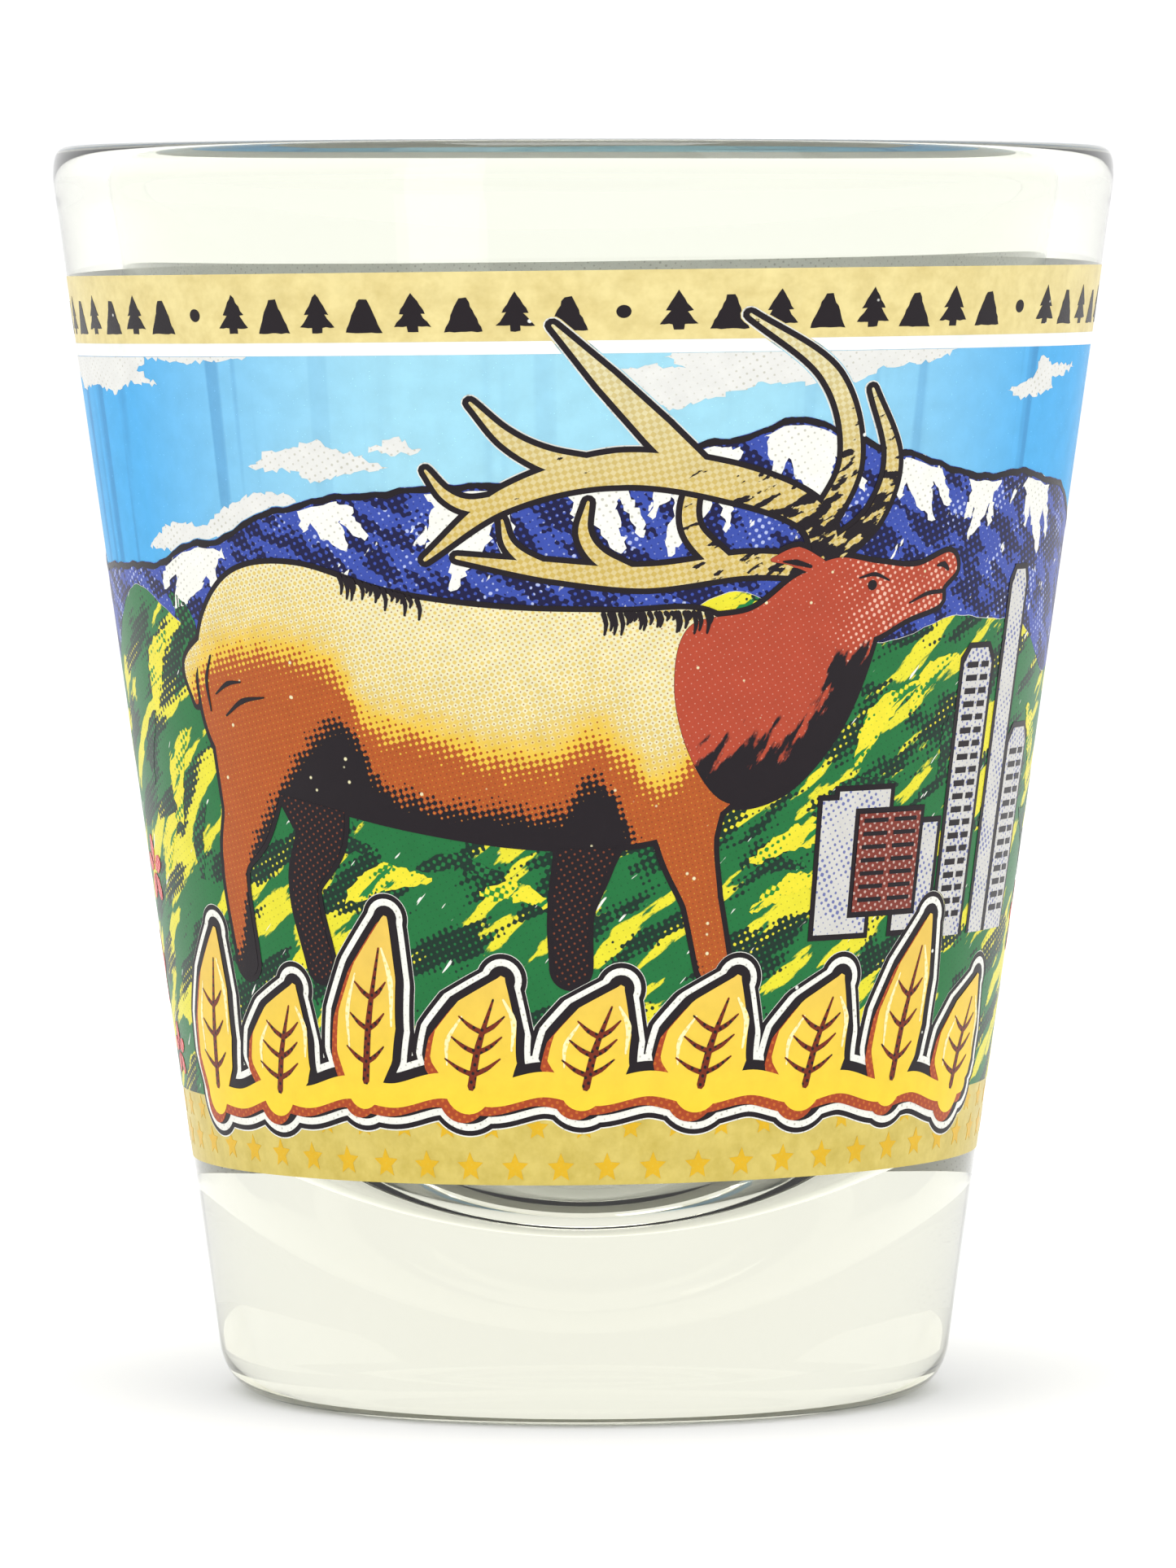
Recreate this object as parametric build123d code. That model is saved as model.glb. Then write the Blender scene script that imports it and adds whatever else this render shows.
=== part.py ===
from build123d import *

import os
from math import atan2, cos, pi, radians, sin

# A souvenir shot glass: one pressed, tapered glass body with a thick solid base, and a printed wrap of
# thin ink films on its outside. Millimetres, +Z up, the glass stands on z = 0 with its axis on Z.
# The middle of the picture faces -Y.

# ---- the glass ----
HEIGHT = 60.0
RIM_DIAMETER = 51.0
CONE_RADIUS_AT_FLOOR = 17.31  # the straight outer wall, continued down to z = 0
CONE_SLOPE = 0.1403  # growth of the outer radius per millimetre of height
WALL_AT_LIP = 2.6
WALL_AT_FLOOR = 3.3
LIP_CREST_RADIUS = 23.9
LIP_BULGE_HEIGHT = 58.0  # where the lip is widest
BEAD_HEIGHT = 57.0  # where the lip's slight bulge starts
INSIDE_FLOOR_HEIGHT = 8.8
INSIDE_WALL_START = 20.0  # above this height the inside is a straight cone
FOOT_RING_RADIUS = 15.5
FOOT_RING_WIDTH = 2.0
FOOT_EDGE_HEIGHT = 2.3  # top of the rounded outer edge of the base
PUNT_HEIGHT = 0.8  # the hollow under the base

# ---- the printed wrap ----
FILM = 0.028  # thickness of one ink film
LEVEL_PITCH = 0.030  # from one film to the next outward
ART_RADIUS = 21.2  # the picture is drawn flat, s along this radius and z up
HALF_TURN = pi * ART_RADIUS
PRINT_TILT = 0.0105  # the wrap sits a little off level, rise per millimetre of x
UPPER_BAND = (50.65, 54.0)
LOWER_BAND = (11.6, 17.5)
SKY_TOP = 50.35
ART_BOTTOM = 15.0
TRAP = 0.5  # neighbouring inks run this far under each other
KEY = 0.27  # width of the black outlines
MOTIF_BLOCKS = 7
MOTIFS_PER_BLOCK = 8
MOTIF_SPAN = (51.25, 52.95)
BAND_DOT = 0.30
STARS_PER_ROW = 56
LOWER_STARS = (12.65, 0.72)  # height and reach of the stars in each row
UPPER_STARS = (14.30, 0.60)
WINDOW_ROW = 0.62  # from one row of windows to the next

# ---- how outlines become polygons ----
OUTLINE_STEP = 0.9  # spacing of the points on curved outlines
LONGEST_SIDE = 2.6  # straight sides are divided to follow the cone
CAP_POINTS = 4
CRUMB = 0.03  # scraps of ink under this area, in square millimetres, are left off
SECTORS = ((0.0, 80.0), (130.0, 50.0), (230.0, 50.0))  # facing angle and half width, in degrees
HAIRLINE = 0.01  # half the gap between the panels of a full wrap, in degrees
PRISM_START = 40.0  # the flat outlines are pushed in from this far in front of the axis


def cone_radius(z):
    """Outer radius of the straight wall at height z."""
    return CONE_RADIUS_AT_FLOOR + CONE_SLOPE * z


def inside_radius(z):
    """Radius of the straight inside wall at height z."""
    share = (z - INSIDE_WALL_START) / (HEIGHT - INSIDE_WALL_START)
    return cone_radius(z) - WALL_AT_FLOOR + (WALL_AT_FLOOR - WALL_AT_LIP) * share


# ================================================================ the glass

def glass_body():
    """One solid of revolution: foot ring, rounded foot edge, tapered wall, rounded lip, bowl."""
    rim = RIM_DIAMETER / 2
    wall_foot = (cone_radius(FOOT_EDGE_HEIGHT), FOOT_EDGE_HEIGHT)
    bead = (cone_radius(BEAD_HEIGHT), BEAD_HEIGHT)
    widest = (rim, LIP_BULGE_HEIGHT)
    crest = (LIP_CREST_RADIUS, HEIGHT)
    inner_lip = (inside_radius(BEAD_HEIGHT), BEAD_HEIGHT)
    bowl_edge = (inside_radius(INSIDE_WALL_START), INSIDE_WALL_START)
    floor = (0, INSIDE_FLOOR_HEIGHT)
    inner_ring = FOOT_RING_RADIUS - FOOT_RING_WIDTH
    up_the_wall = (CONE_SLOPE, 1)
    inside_slope = inside_radius(HEIGHT) - inside_radius(HEIGHT - 1)
    with BuildPart() as glass:
        with BuildSketch(Plane.XZ):
            with BuildLine():
                Line((0, PUNT_HEIGHT), (0, INSIDE_FLOOR_HEIGHT))
                Spline(floor, bowl_edge, tangents=((1, 0), (inside_slope, 1)), tangent_scalars=(1.15, 1.0))
                Line(bowl_edge, inner_lip)
                Spline(inner_lip, crest, tangents=((inside_slope, 1), (1, 0)))
                Spline(crest, widest, tangents=((1, 0), (0, -1)))
                Spline(widest, bead, tangents=((0, -1), (-CONE_SLOPE, -1)))
                Line(bead, wall_foot)
                Spline(
                    wall_foot,
                    (FOOT_RING_RADIUS, 0),
                    tangents=((-CONE_SLOPE, -1), (-1, 0)),
                )
                Line((FOOT_RING_RADIUS, 0), (inner_ring, 0))
                Spline((inner_ring, 0), (0, PUNT_HEIGHT), tangents=((-1, 0.2), (-1, 0)))
            make_face()
        revolve(axis=Axis.Z)
    return glass.part


# ================================================================ drawing in the flat

def polygon(points):
    """A flat face from (s, z) points."""
    return Face(Wire.make_polygon([(s, z, 0) for s, z in points], close=True))


def smooth_loop(points, grow=0.0):
    """A closed smooth outline through a few points, optionally grown outward."""
    curve = Edge.make_spline([Vector(s, z) for s, z in points], periodic=True)
    count = max(14, round(curve.length / OUTLINE_STEP))
    ring = [(curve.position_at(i / count), curve.tangent_at(i / count)) for i in range(count)]
    area = sum(
        a.X * b.Y - b.X * a.Y
        for (a, _), (b, _) in zip(ring, ring[1:] + ring[:1])
    )
    side = grow if area > 0 else -grow
    return polygon([(p.X + side * t.Y, p.Y - side * t.X) for p, t in ring])


def half_width_at(widths, share):
    """Half widths are given evenly along a stroke; straight between them."""
    place = share * (len(widths) - 1)
    index = min(int(place), len(widths) - 2)
    return widths[index] + (widths[index + 1] - widths[index]) * (place - index)


def stroke(points, widths, grow=0.0):
    """A brush stroke: a smooth centre line with half widths along it and round ends."""
    curve = Edge.make_spline([Vector(s, z) for s, z in points])
    count = max(3, round(curve.length / OUTLINE_STEP))
    left, right = [], []
    for i in range(count + 1):
        share = i / count
        p, t = curve.position_at(share), curve.tangent_at(share)
        half = half_width_at(widths, share) + grow
        left.append((p.X - half * t.Y, p.Y + half * t.X))
        right.append((p.X + half * t.Y, p.Y - half * t.X))

    def cap(share, turn):
        p, t = curve.position_at(share), curve.tangent_at(share)
        half = half_width_at(widths, share) + grow
        start = atan2(t.Y, t.X) + turn
        angles = [start - pi * k / CAP_POINTS for k in range(1, CAP_POINTS)]
        return [(p.X + half * cos(a), p.Y + half * sin(a)) for a in angles]

    return polygon(left + cap(1, pi / 2) + right[::-1] + cap(0, -pi / 2))


def disc(s, z, radius, points=10):
    """A small round dot."""
    angles = [2 * pi * k / points for k in range(points)]
    return polygon([(s + radius * cos(a), z + radius * sin(a)) for a in angles])


def between(low, high, s_start=-HALF_TURN, s_end=HALF_TURN, step=1.5):
    """The strip between two height functions."""
    count = round((s_end - s_start) / step)
    places = [s_start + (s_end - s_start) * k / count for k in range(count + 1)]
    return polygon([(s, low(s)) for s in places] + [(s, high(s)) for s in reversed(places)])


def level_line(z):
    """A height function that is the same everywhere."""
    return lambda s: z


def profile_line(points, ripple=0.0):
    """A height function through (s, z) points that repeats every turn, with a small ripple."""
    turn = 2 * HALF_TURN
    knots = [(s - turn, z) for s, z in points] + points + [(s + turn, z) for s, z in points]

    def height(s):
        for (s0, z0), (s1, z1) in zip(knots, knots[1:]):
            if s0 <= s <= s1:
                share = (s - s0) / (s1 - s0)
                ease = share * share * (3 - 2 * share)
                wave = sin(pi * 18 * s / HALF_TURN) + 0.6 * sin(pi * 31 * s / HALF_TURN)
                return z0 + (z1 - z0) * ease + ripple * wave
        return points[0][1]

    return height


def union(shapes):
    """One flat sketch from overlapping faces."""
    first, *rest = shapes
    return Sketch() + first + rest if rest else Sketch() + first


# ================================================================ from the flat onto the cone

def on_facing_plane(s, z, facing):
    """Where a point of the flat drawing lands, seen square on from the facing angle."""
    angle = s / ART_RADIUS
    height = z + PRINT_TILT * cone_radius(z) * sin(angle)
    return cone_radius(height) * sin(angle - radians(facing)), height


def walk(wire):
    """The corners of a wire in order, with long sides divided."""
    sides = [(e.position_at(0), e.position_at(1)) for e in wire.edges()]
    start, here = sides.pop(0)
    corners = [start]
    while True:
        length = (here - corners[-1]).length
        pieces = max(1, round(length / LONGEST_SIDE))
        begin = corners[-1]
        corners += [begin + (here - begin) * (k / pieces) for k in range(1, pieces + 1)]
        if not sides:
            break
        gaps = [min((a - here).length, (b - here).length) for a, b in sides]
        a, b = sides.pop(gaps.index(min(gaps)))
        here = b if (a - here).length < (b - here).length else a
    return [(p.X, p.Y) for p in corners[:-1]]


def shell(level, z_low, z_high, half):
    """The sector of thin cone, facing -Y, that a film of this level is cut from."""
    inner, outer = level * LEVEL_PITCH, level * LEVEL_PITCH + FILM
    with BuildPart() as cone:
        with BuildSketch(Plane.XZ):
            with BuildLine():
                Polyline(
                    (cone_radius(z_low) + inner, z_low),
                    (cone_radius(z_low) + outer, z_low),
                    (cone_radius(z_high) + outer, z_high),
                    (cone_radius(z_high) + inner, z_high),
                    close=True,
                )
            make_face()
        revolve(axis=Axis.Z, revolution_arc=2 * (half - HAIRLINE))
    return cone.part.rotate(Axis.Z, HAIRLINE - 90 - half)


def prism(face, facing):
    """A flat face as a prism that points at the axis from the facing side."""
    loops = []
    for wire in [face.outer_wire(), *(w for w in face.inner_wires() if w.edges())]:
        seen = [on_facing_plane(s, z, facing) for s, z in walk(wire)]
        loops.append(Wire.make_polygon([(x, -PRISM_START, z) for x, z in seen], close=True))
    return Solid.extrude(Face(loops[0], loops[1:]), Vector(0, PRISM_START, 0))


def film(sketch, level):
    """Lays a flat sketch on the cone as the solids of one ink film."""
    box = sketch.bounding_box()
    solids = []
    for facing, half in SECTORS:
        cone = shell(level, box.min.Y - 1, box.max.Y + 1, half)
        middle = ART_RADIUS * radians(facing)
        reach = ART_RADIUS * radians(half)
        for lap in (-2 * HALF_TURN, 0.0):
            low, high = middle + lap - reach, middle + lap + reach
            if high <= box.min.X or low >= box.max.X:
                continue
            crosses = low > box.min.X or high < box.max.X
            window = polygon([(low - 1, 0), (high + 1, 0), (high + 1, HEIGHT), (low - 1, HEIGHT)])
            clipped = sketch & window if crosses else sketch
            for face in clipped.faces():
                if face.area < CRUMB:
                    continue
                piece = prism(face, facing) & cone
                if piece:
                    solids += [solid.rotate(Axis.Z, facing) for solid in piece.solids()]
    return solids


# ================================================================ the landscape

RIDGE = profile_line([
    (-60, 44.6), (-52, 46.3), (-44, 43.6), (-37, 40.9), (-29.3, 40.3), (-22.6, 40.6), (-18.3, 41.7),
    (-13.7, 43.2), (-9.7, 44.0), (-4, 44.3), (1.4, 45.1), (5.9, 46.3), (8.9, 47.1), (11.5, 46.6),
    (13.8, 45.6), (18.8, 44.4), (21.5, 44.5), (27, 43.9), (33, 41.6), (41, 44.2), (48, 46.0),
    (55, 43.2), (62, 41.6),
], ripple=0.10)
HILL_TOP = profile_line([
    (-62, 36.6), (-50, 33.6), (-40, 36.4), (-32, 35.6), (-25.0, 39.4), (-19, 37.0), (-8, 34.5), (2.0, 36.8),
    (6.6, 39.2), (10.5, 37.6), (14, 36.6), (19, 37.7), (23.5, 37.3), (30, 34.6), (42, 37.6), (54, 34.4),
], ripple=0.05)


def sky_ink():
    """Clear blue from just under the ridge up to the white line below the upper band."""
    return between(lambda s: RIDGE(s) - TRAP, level_line(SKY_TOP))


CLOUDS = (
    [(-33.0, 51.0), (-31.5, 49.4), (-29.6, 48.6), (-26.5, 48.9), (-24.7, 48.4), (-22.8, 49.0), (-20.6, 48.9),
     (-22.0, 49.6), (-21.2, 50.1), (-17.4, 49.9), (-14.6, 50.2), (-12.8, 51.0)],
    [(-15.1, 45.0), (-12.6, 44.9), (-11.9, 44.4), (-9.9, 44.8), (-8.3, 45.0), (-9.5, 45.6), (-10.6, 45.8),
     (-11.6, 46.3), (-13.1, 45.9), (-14.3, 45.7)],
    [(-9.2, 45.9), (-7.9, 45.6), (-6.7, 45.8), (-7.8, 46.4)],
    [(-23.2, 41.3), (-20.0, 41.0), (-12.6, 43.2), (-13.3, 43.9), (-14.9, 43.9), (-17.1, 43.1), (-18.4, 42.3),
     (-20.6, 42.5)],
    [(0.9, 48.3), (2.3, 47.9), (3.6, 47.6), (5.5, 48.2), (7.4, 48.8), (9.8, 48.6), (11.6, 48.8), (12.7, 49.3),
     (15.1, 49.6), (17.2, 50.2), (17.4, 51.0), (4.2, 51.0), (3.2, 50.0), (4.1, 49.4), (2.4, 49.7), (1.1, 49.2)],
    [(20.4, 48.1), (21.5, 47.8), (24.8, 48.1), (24.4, 48.7), (28.3, 49.3), (24.3, 49.3), (23.0, 49.8),
     (22.5, 48.7)],
    [(33.5, 48.0), (36.0, 47.3), (39.5, 47.6), (43.5, 47.9), (41.0, 48.7), (38.5, 49.2), (36.0, 48.7)],
    [(-44.5, 47.4), (-41.0, 46.8), (-37.0, 47.1), (-34.0, 47.4), (-37.0, 48.3), (-40.0, 48.8), (-42.0, 48.1)],
    [(-60.5, 49.0), (-57.0, 48.4), (-52.5, 48.9), (-49.5, 49.1), (-53.0, 49.9), (-57.5, 49.8)],
    [(52.5, 47.6), (55.0, 47.0), (59.5, 47.3), (63.0, 47.5), (60.5, 48.4), (57.0, 48.9), (54.5, 48.3)],
)


def cloud_ink():
    """White clouds, clear of the ridge, the animal and the white line."""
    above = between(level_line(SKY_TOP - 0.17), level_line(HEIGHT))
    below = between(level_line(ART_BOTTOM), lambda s: RIDGE(s) + 0.04)
    return union([polygon(outline) for outline in CLOUDS]) - above - below - elk_silhouette(KEY + 0.10)


def mountain_ink():
    """The blue range, from the ridge down to the hills."""
    return between(lambda s: HILL_TOP(s) + 0.03, RIDGE)


def ridge_line_ink():
    """A black line just inside the ridge."""
    return between(lambda s: RIDGE(s) - KEY - 0.08 * sin(s * 2.1) ** 2, lambda s: RIDGE(s) - 0.03)


def snow_patch(s, z, width, height, lean):
    """A field of snow hanging from the ridge, in tongues."""
    half = width * 0.30
    tongues = (
        ([(s - width * 0.5, z - 0.1), (s, z - height * 0.16), (s + width * 0.5, z - 0.1)],
         (0.25, half * 0.55, 0.25)),
        ([(s, z - 0.1), (s + lean * 0.3, z - height * 0.5), (s + lean * 1.3, z - height)],
         (half, half * 0.8, 0.18)),
        ([(s - width * 0.3, z - 0.3), (s - width * 0.45 + lean * 0.4, z - height * 0.62)],
         (half * 0.6, 0.16)),
        ([(s + width * 0.3, z - 0.3), (s + width * 0.55 + lean * 0.6, z - height * 0.78)],
         (half * 0.5, 0.16)),
    )
    return [stroke(path, widths) for path, widths in tongues]


SNOW = (
    (-19.6, 4.2, 2.6, -1.2), (-11.5, 2.8, 1.8, 0.8), (-4.6, 3.6, 4.4, -0.8), (0.6, 2.6, 3.6, 0.8),
    (4.8, 3.4, 4.6, -0.9), (9.6, 4.0, 3.8, 0.9), (15.2, 2.8, 2.6, 0.8), (19.6, 1.8, 2.6, -0.6),
    (24.4, 2.6, 3.2, 0.7), (-58, 4.0, 4.2, 1.0), (-50.5, 4.4, 5.0, -1.0), (-43, 3.0, 3.4, 0.8),
    (40.0, 3.4, 3.8, -0.9), (46.8, 4.6, 5.2, 1.0), (53, 3.0, 3.4, -0.8), (-34.0, 3.0, 2.4, -0.7),
    (62.0, 3.4, 2.6, 0.8),
)


def snow_ink():
    """Snow fields hang from the ridge."""
    patches = []
    for s, width, height, lean in SNOW:
        patches += snow_patch(s, RIDGE(s) - 0.4, width, height, lean)
    above = between(lambda s: RIDGE(s) - KEY - 0.12, level_line(HEIGHT))
    return union(patches) - above


def hill_ink():
    """Green foothills down to behind the ornament."""
    return between(level_line(ART_BOTTOM), HILL_TOP)


def leaf(s, z, length, width, tilt, grow=0.0):
    """A pointed, slightly bent patch."""
    run, rise = length * cos(radians(tilt)), length * sin(radians(tilt))
    bend = 0.14 * length
    middle = (s - bend * sin(radians(tilt)), z + bend * cos(radians(tilt)))
    return stroke([(s - run / 2, z - rise / 2), middle, (s + run / 2, z + rise / 2)],
                  (0.18, width * 0.40, width * 0.50, width * 0.34, 0.18), grow)


MEADOWS = (
    (-23.6, 35.4, 4.2, 1.6, 62), (-22.6, 30.4, 4.6, 1.5, 70), (-24.8, 27.2, 3.4, 1.2, 50),
    (-9.6, 25.4, 4.4, 1.3, 12), (-3.2, 25.0, 3.0, 1.0, -10), (6.8, 37.6, 3.2, 1.2, 35),
    (10.6, 27.0, 5.2, 1.2, 8), (14.8, 32.8, 4.8, 1.3, 48), (17.6, 34.6, 3.8, 1.1, 40),
    (10.4, 24.9, 4.6, 0.9, 14), (28.4, 31.0, 4.6, 1.3, -58), (34.0, 28.6, 6.0, 1.6, 30),
    (41.0, 33.0, 6.4, 1.7, 24), (47.5, 27.0, 7.0, 1.8, -18), (55.5, 31.0, 6.0, 1.6, 28),
    (62.5, 25.5, 6.0, 1.7, -14), (-60.5, 31.5, 6.6, 1.8, 22), (-52.0, 27.0, 6.4, 1.7, -20),
    (-44.0, 31.5, 6.0, 1.6, 26), (-36.5, 26.5, 6.0, 1.6, -18), (-32.0, 31.6, 4.0, 1.2, 48),
)
SHADED_SLOPES = (
    (-20.9, 37.6, 3.2, 1.2, -64), (-25.8, 31.6, 3.6, 1.1, 66), (-21.4, 27.4, 3.4, 1.0, 74),
    (-12.0, 27.0, 3.6, 0.9, 10), (-6.0, 26.3, 3.8, 0.8, -6), (11.6, 33.4, 4.2, 1.0, 52),
    (19.8, 32.2, 4.4, 1.2, 60), (13.4, 29.3, 4.6, 0.9, 14), (9.2, 26.0, 3.0, 0.6, 10),
    (30.6, 26.4, 5.0, 1.4, -40), (37.5, 34.0, 5.2, 1.2, 36), (44.2, 30.2, 6.2, 1.3, -24),
    (51.5, 30.6, 5.6, 1.3, 30), (59.0, 27.6, 6.0, 1.3, -22), (66.0, 31.6, 5.0, 1.2, 26),
    (-56.5, 29.0, 5.8, 1.3, -24), (-48.0, 30.0, 5.0, 1.2, 30), (-40.0, 28.5, 5.8, 1.3, -26),
)


def meadow_ink():
    """Sunlit yellow patches on the hills."""
    return union([leaf(*place) for place in MEADOWS])


def hill_shade_ink():
    """Dark wooded slopes, clear of the meadows."""
    meadows = union([leaf(*place, grow=0.03) for place in MEADOWS])
    return union([leaf(*place) for place in SHADED_SLOPES]) - meadows


def pine(s, z, height):
    """A fir tree of three tiers on a short trunk."""
    wide = height * 0.24
    half = [(0.10, 0.0), (0.10, 0.14), (1.0, 0.14), (0.42, 0.42), (0.80, 0.40), (0.32, 0.66), (0.55, 0.64)]
    half.append((0.0, 1.0))
    right = [(s + across * wide, z + up * height) for across, up in half]
    left = [(2 * s - a, b) for a, b in reversed(right[:-1])]
    return polygon(right + left)


PINES = (
    (-63.5, 20.5, 12.0), (-58.0, 18.6, 9.6), (-53.2, 20.0, 13.0), (-48.0, 18.8, 10.0),
    (-43.2, 20.2, 12.4), (38.4, 20.0, 11.2), (43.4, 18.8, 13.6), (48.8, 20.2, 10.4), (53.8, 19.0, 12.6),
    (58.8, 20.4, 9.8), (64.0, 18.8, 11.6),
)


def pine_ink():
    """Fir trees round the back."""
    return union([pine(*place) for place in PINES])


BLOSSOMS = (
    (-29.2, 25.6, 1.5), (-32.6, 20.6, 1.7), (-36.4, 24.2, 1.6), (32.6, 22.6, 1.6), (34.8, 18.0, 1.3),
    (-29.4, 16.9, 1.2),
)


def petals(s, z, size):
    """The five petals of a flower."""
    shapes = []
    for k in range(5):
        angle = 2 * pi * k / 5 + 0.3
        path = [(s + reach * size * cos(angle), z + reach * size * sin(angle)) for reach in (0.25, 0.6, 0.9)]
        shapes.append(stroke(path, (0.10 * size, 0.30 * size, 0.24 * size)))
    return shapes


def blossom_ink():
    """Red flowers at the edges of the front picture."""
    flowers = []
    for place in BLOSSOMS:
        flowers += petals(*place)
    return union(flowers)


# ================================================================ the skyline

TOWERS = ((20.7, 22.5, 2.3, 13.6), (26.2, 22.5, 2.6, 9.6), (23.7, 22.5, 1.5, 17.2))
BLOCKS = ((13.0, 23.0, 3.0, 6.3), (17.6, 23.0, 2.6, 5.0), (13.9, 28.6, 3.0, 1.1))
BRICK_BLOCK = (15.6, 24.0, 3.9, 4.6)
CROWN = 0.7


def upright(s, z, width, height, grow=0.0):
    """A plain building front."""
    half = width / 2 + grow
    low, high = z - grow, z + height + grow
    return polygon([(s - half, low), (s + half, low), (s + half, high), (s - half, high)])


def capped(s, z, width, height, grow=0.0):
    """A tower front with a sloping crown."""
    half = width / 2 + grow
    top = z + height + grow
    return polygon([
        (s - half, z), (s + half, z), (s + half, top - CROWN), (s + half * 0.6, top),
        (s - half * 0.6, top), (s - half, top - CROWN),
    ])


def skyline_outline_ink():
    """Black round every building front."""
    towers = [capped(*place, KEY) for place in TOWERS]
    return union(towers + [upright(*place, KEY) for place in (*BLOCKS, BRICK_BLOCK)])


def skyline_ink():
    """Pale building fronts."""
    return union([capped(*place) for place in TOWERS] + [upright(*place) for place in BLOCKS])


def brick_ink():
    """The brick-red block."""
    return union([upright(*BRICK_BLOCK)])


def tower_window_ink():
    """Rows of black windows on the two wide towers."""
    bars = []
    for s, z, width, height in TOWERS[:2]:
        for k in range(round(height / WINDOW_ROW) - 2):
            level = z + 0.9 + k * WINDOW_ROW
            bars.append(upright(s - width * 0.19, level, width * 0.38, 0.28))
            bars.append(upright(s + width * 0.25, level, width * 0.28, 0.28))
    return union(bars)


def brick_window_ink():
    """Rows of windows on the brick block."""
    s, z, width, height = BRICK_BLOCK
    bars = []
    for k in range(round(height / WINDOW_ROW)):
        for side in (-1, 1):
            bars.append(upright(s + side * width * 0.24, z + 0.45 + k * WINDOW_ROW, width * 0.38, 0.2))
    return union(bars)


# ================================================================ the elk

TRUNK = [
    (5.4, 38.2), (1.5, 38.3), (-3.5, 38.5), (-8.5, 39.2), (-13.0, 40.5), (-16.6, 40.2), (-19.0, 38.2),
    (-20.0, 35.4), (-19.6, 32.4), (-17.6, 30.4), (-13.6, 29.6), (-8.0, 28.4), (-2.5, 27.6), (2.5, 27.6),
    (6.4, 29.0), (8.2, 32.0), (8.0, 35.8),
]
NECK = [
    (4.6, 37.6), (7.4, 38.3), (9.6, 39.9), (12.0, 40.2), (13.6, 38.4), (13.2, 35.6), (11.8, 32.4),
    (9.4, 29.9), (6.6, 29.4), (4.8, 31.6), (4.0, 34.8),
]
HEAD = [
    (9.7, 39.6), (11.2, 40.6), (13.4, 40.3), (15.6, 40.1), (17.6, 40.7), (18.2, 39.9), (17.4, 39.1),
    (17.3, 38.3), (15.4, 37.7), (13.2, 36.8), (11.2, 37.4),
]
EAR = ([(10.4, 40.2), (9.3, 40.7), (8.2, 40.6)], (0.42, 0.48, 0.10))
LEGS = (
    ([(-16.8, 32.5), (-17.6, 28.8), (-18.9, 26.2), (-18.7, 21.8)], (2.6, 1.7, 0.85, 0.75)),
    ([(-13.6, 31.0), (-13.0, 28.0), (-14.2, 25.4), (-13.6, 21.8)], (2.0, 1.3, 0.75, 0.70)),
    ([(4.6, 31.0), (4.8, 27.6), (5.6, 24.8), (6.3, 21.8)], (2.2, 1.3, 0.80, 0.75)),
    ([(0.6, 29.6), (0.0, 26.8), (-0.6, 24.4), (-0.6, 21.8)], (1.8, 1.2, 0.85, 0.80)),
)
TAIL = ([(-19.2, 36.8), (-20.6, 35.6), (-20.4, 34.0)], (0.35, 0.50, 0.15))
NEAR_ANTLER = (
    ([(10.9, 40.2), (9.9, 42.6), (6.2, 44.2), (1.4, 44.9), (-3.2, 43.6), (-6.8, 40.8)],
     (0.62, 0.66, 0.78, 0.74, 0.46, 0.08)),
    ([(11.0, 40.8), (13.0, 42.6), (13.7, 45.2), (12.4, 48.4)], (0.50, 0.40, 0.32, 0.06)),
    ([(10.3, 42.0), (11.6, 45.2), (10.4, 49.0), (6.7, 51.9)], (0.52, 0.44, 0.34, 0.06)),
    ([(5.0, 44.4), (3.0, 46.6), (0.9, 49.0), (-1.2, 51.5)], (0.62, 0.58, 0.40, 0.06)),
    ([(0.4, 44.8), (-1.6, 45.4), (-3.2, 46.4), (-4.6, 48.0)], (0.55, 0.42, 0.28, 0.06)),
    ([(-3.4, 43.4), (-4.8, 43.3), (-5.8, 43.8), (-6.6, 44.9)], (0.36, 0.28, 0.20, 0.06)),
)
FAR_ANTLER = (
    ([(10.2, 40.2), (7.0, 40.4), (2.6, 39.9), (-1.6, 40.3), (-5.4, 40.9)], (0.44, 0.50, 0.50, 0.38, 0.08)),
    ([(6.0, 40.4), (4.6, 42.0), (4.5, 43.6), (5.2, 45.0)], (0.44, 0.34, 0.26, 0.08)),
    ([(2.0, 40.0), (0.6, 40.9), (0.0, 42.0), (0.2, 43.4)], (0.36, 0.30, 0.22, 0.06)),
    ([(-1.6, 40.3), (-2.6, 40.9), (-3.2, 41.6), (-3.4, 42.6)], (0.30, 0.24, 0.16, 0.05)),
)


def elk_shapes(grow):
    """The whole animal as overlapping parts, grown for its outline."""
    shapes = [smooth_loop(outline, grow) for outline in (TRUNK, NECK, HEAD)]
    for path, widths in (EAR, TAIL, *LEGS, *NEAR_ANTLER, *FAR_ANTLER):
        shapes.append(stroke(path, widths, grow))
    return shapes


def elk_silhouette(grow):
    """The whole animal as one outline."""
    return union(elk_shapes(grow))


def elk_coat_ink():
    """The cream and tan coat."""
    legs = [stroke(path, widths) for path, widths in (LEGS[0], LEGS[2], TAIL)]
    return union([smooth_loop(TRUNK), *legs]) - front_parts(0.02)


def far_leg_ink():
    """The two legs on the far side, darker."""
    legs = [stroke(path, widths) for path, widths in (LEGS[1], LEGS[3])]
    near = [smooth_loop(TRUNK, 0.12), stroke(*LEGS[0], 0.12), stroke(*LEGS[2], 0.12)]
    return union(legs) - union(near)


def front_parts(grow):
    """Neck, head and ear."""
    return union([smooth_loop(NECK, grow), smooth_loop(HEAD, grow), stroke(*EAR, grow)])


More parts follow.
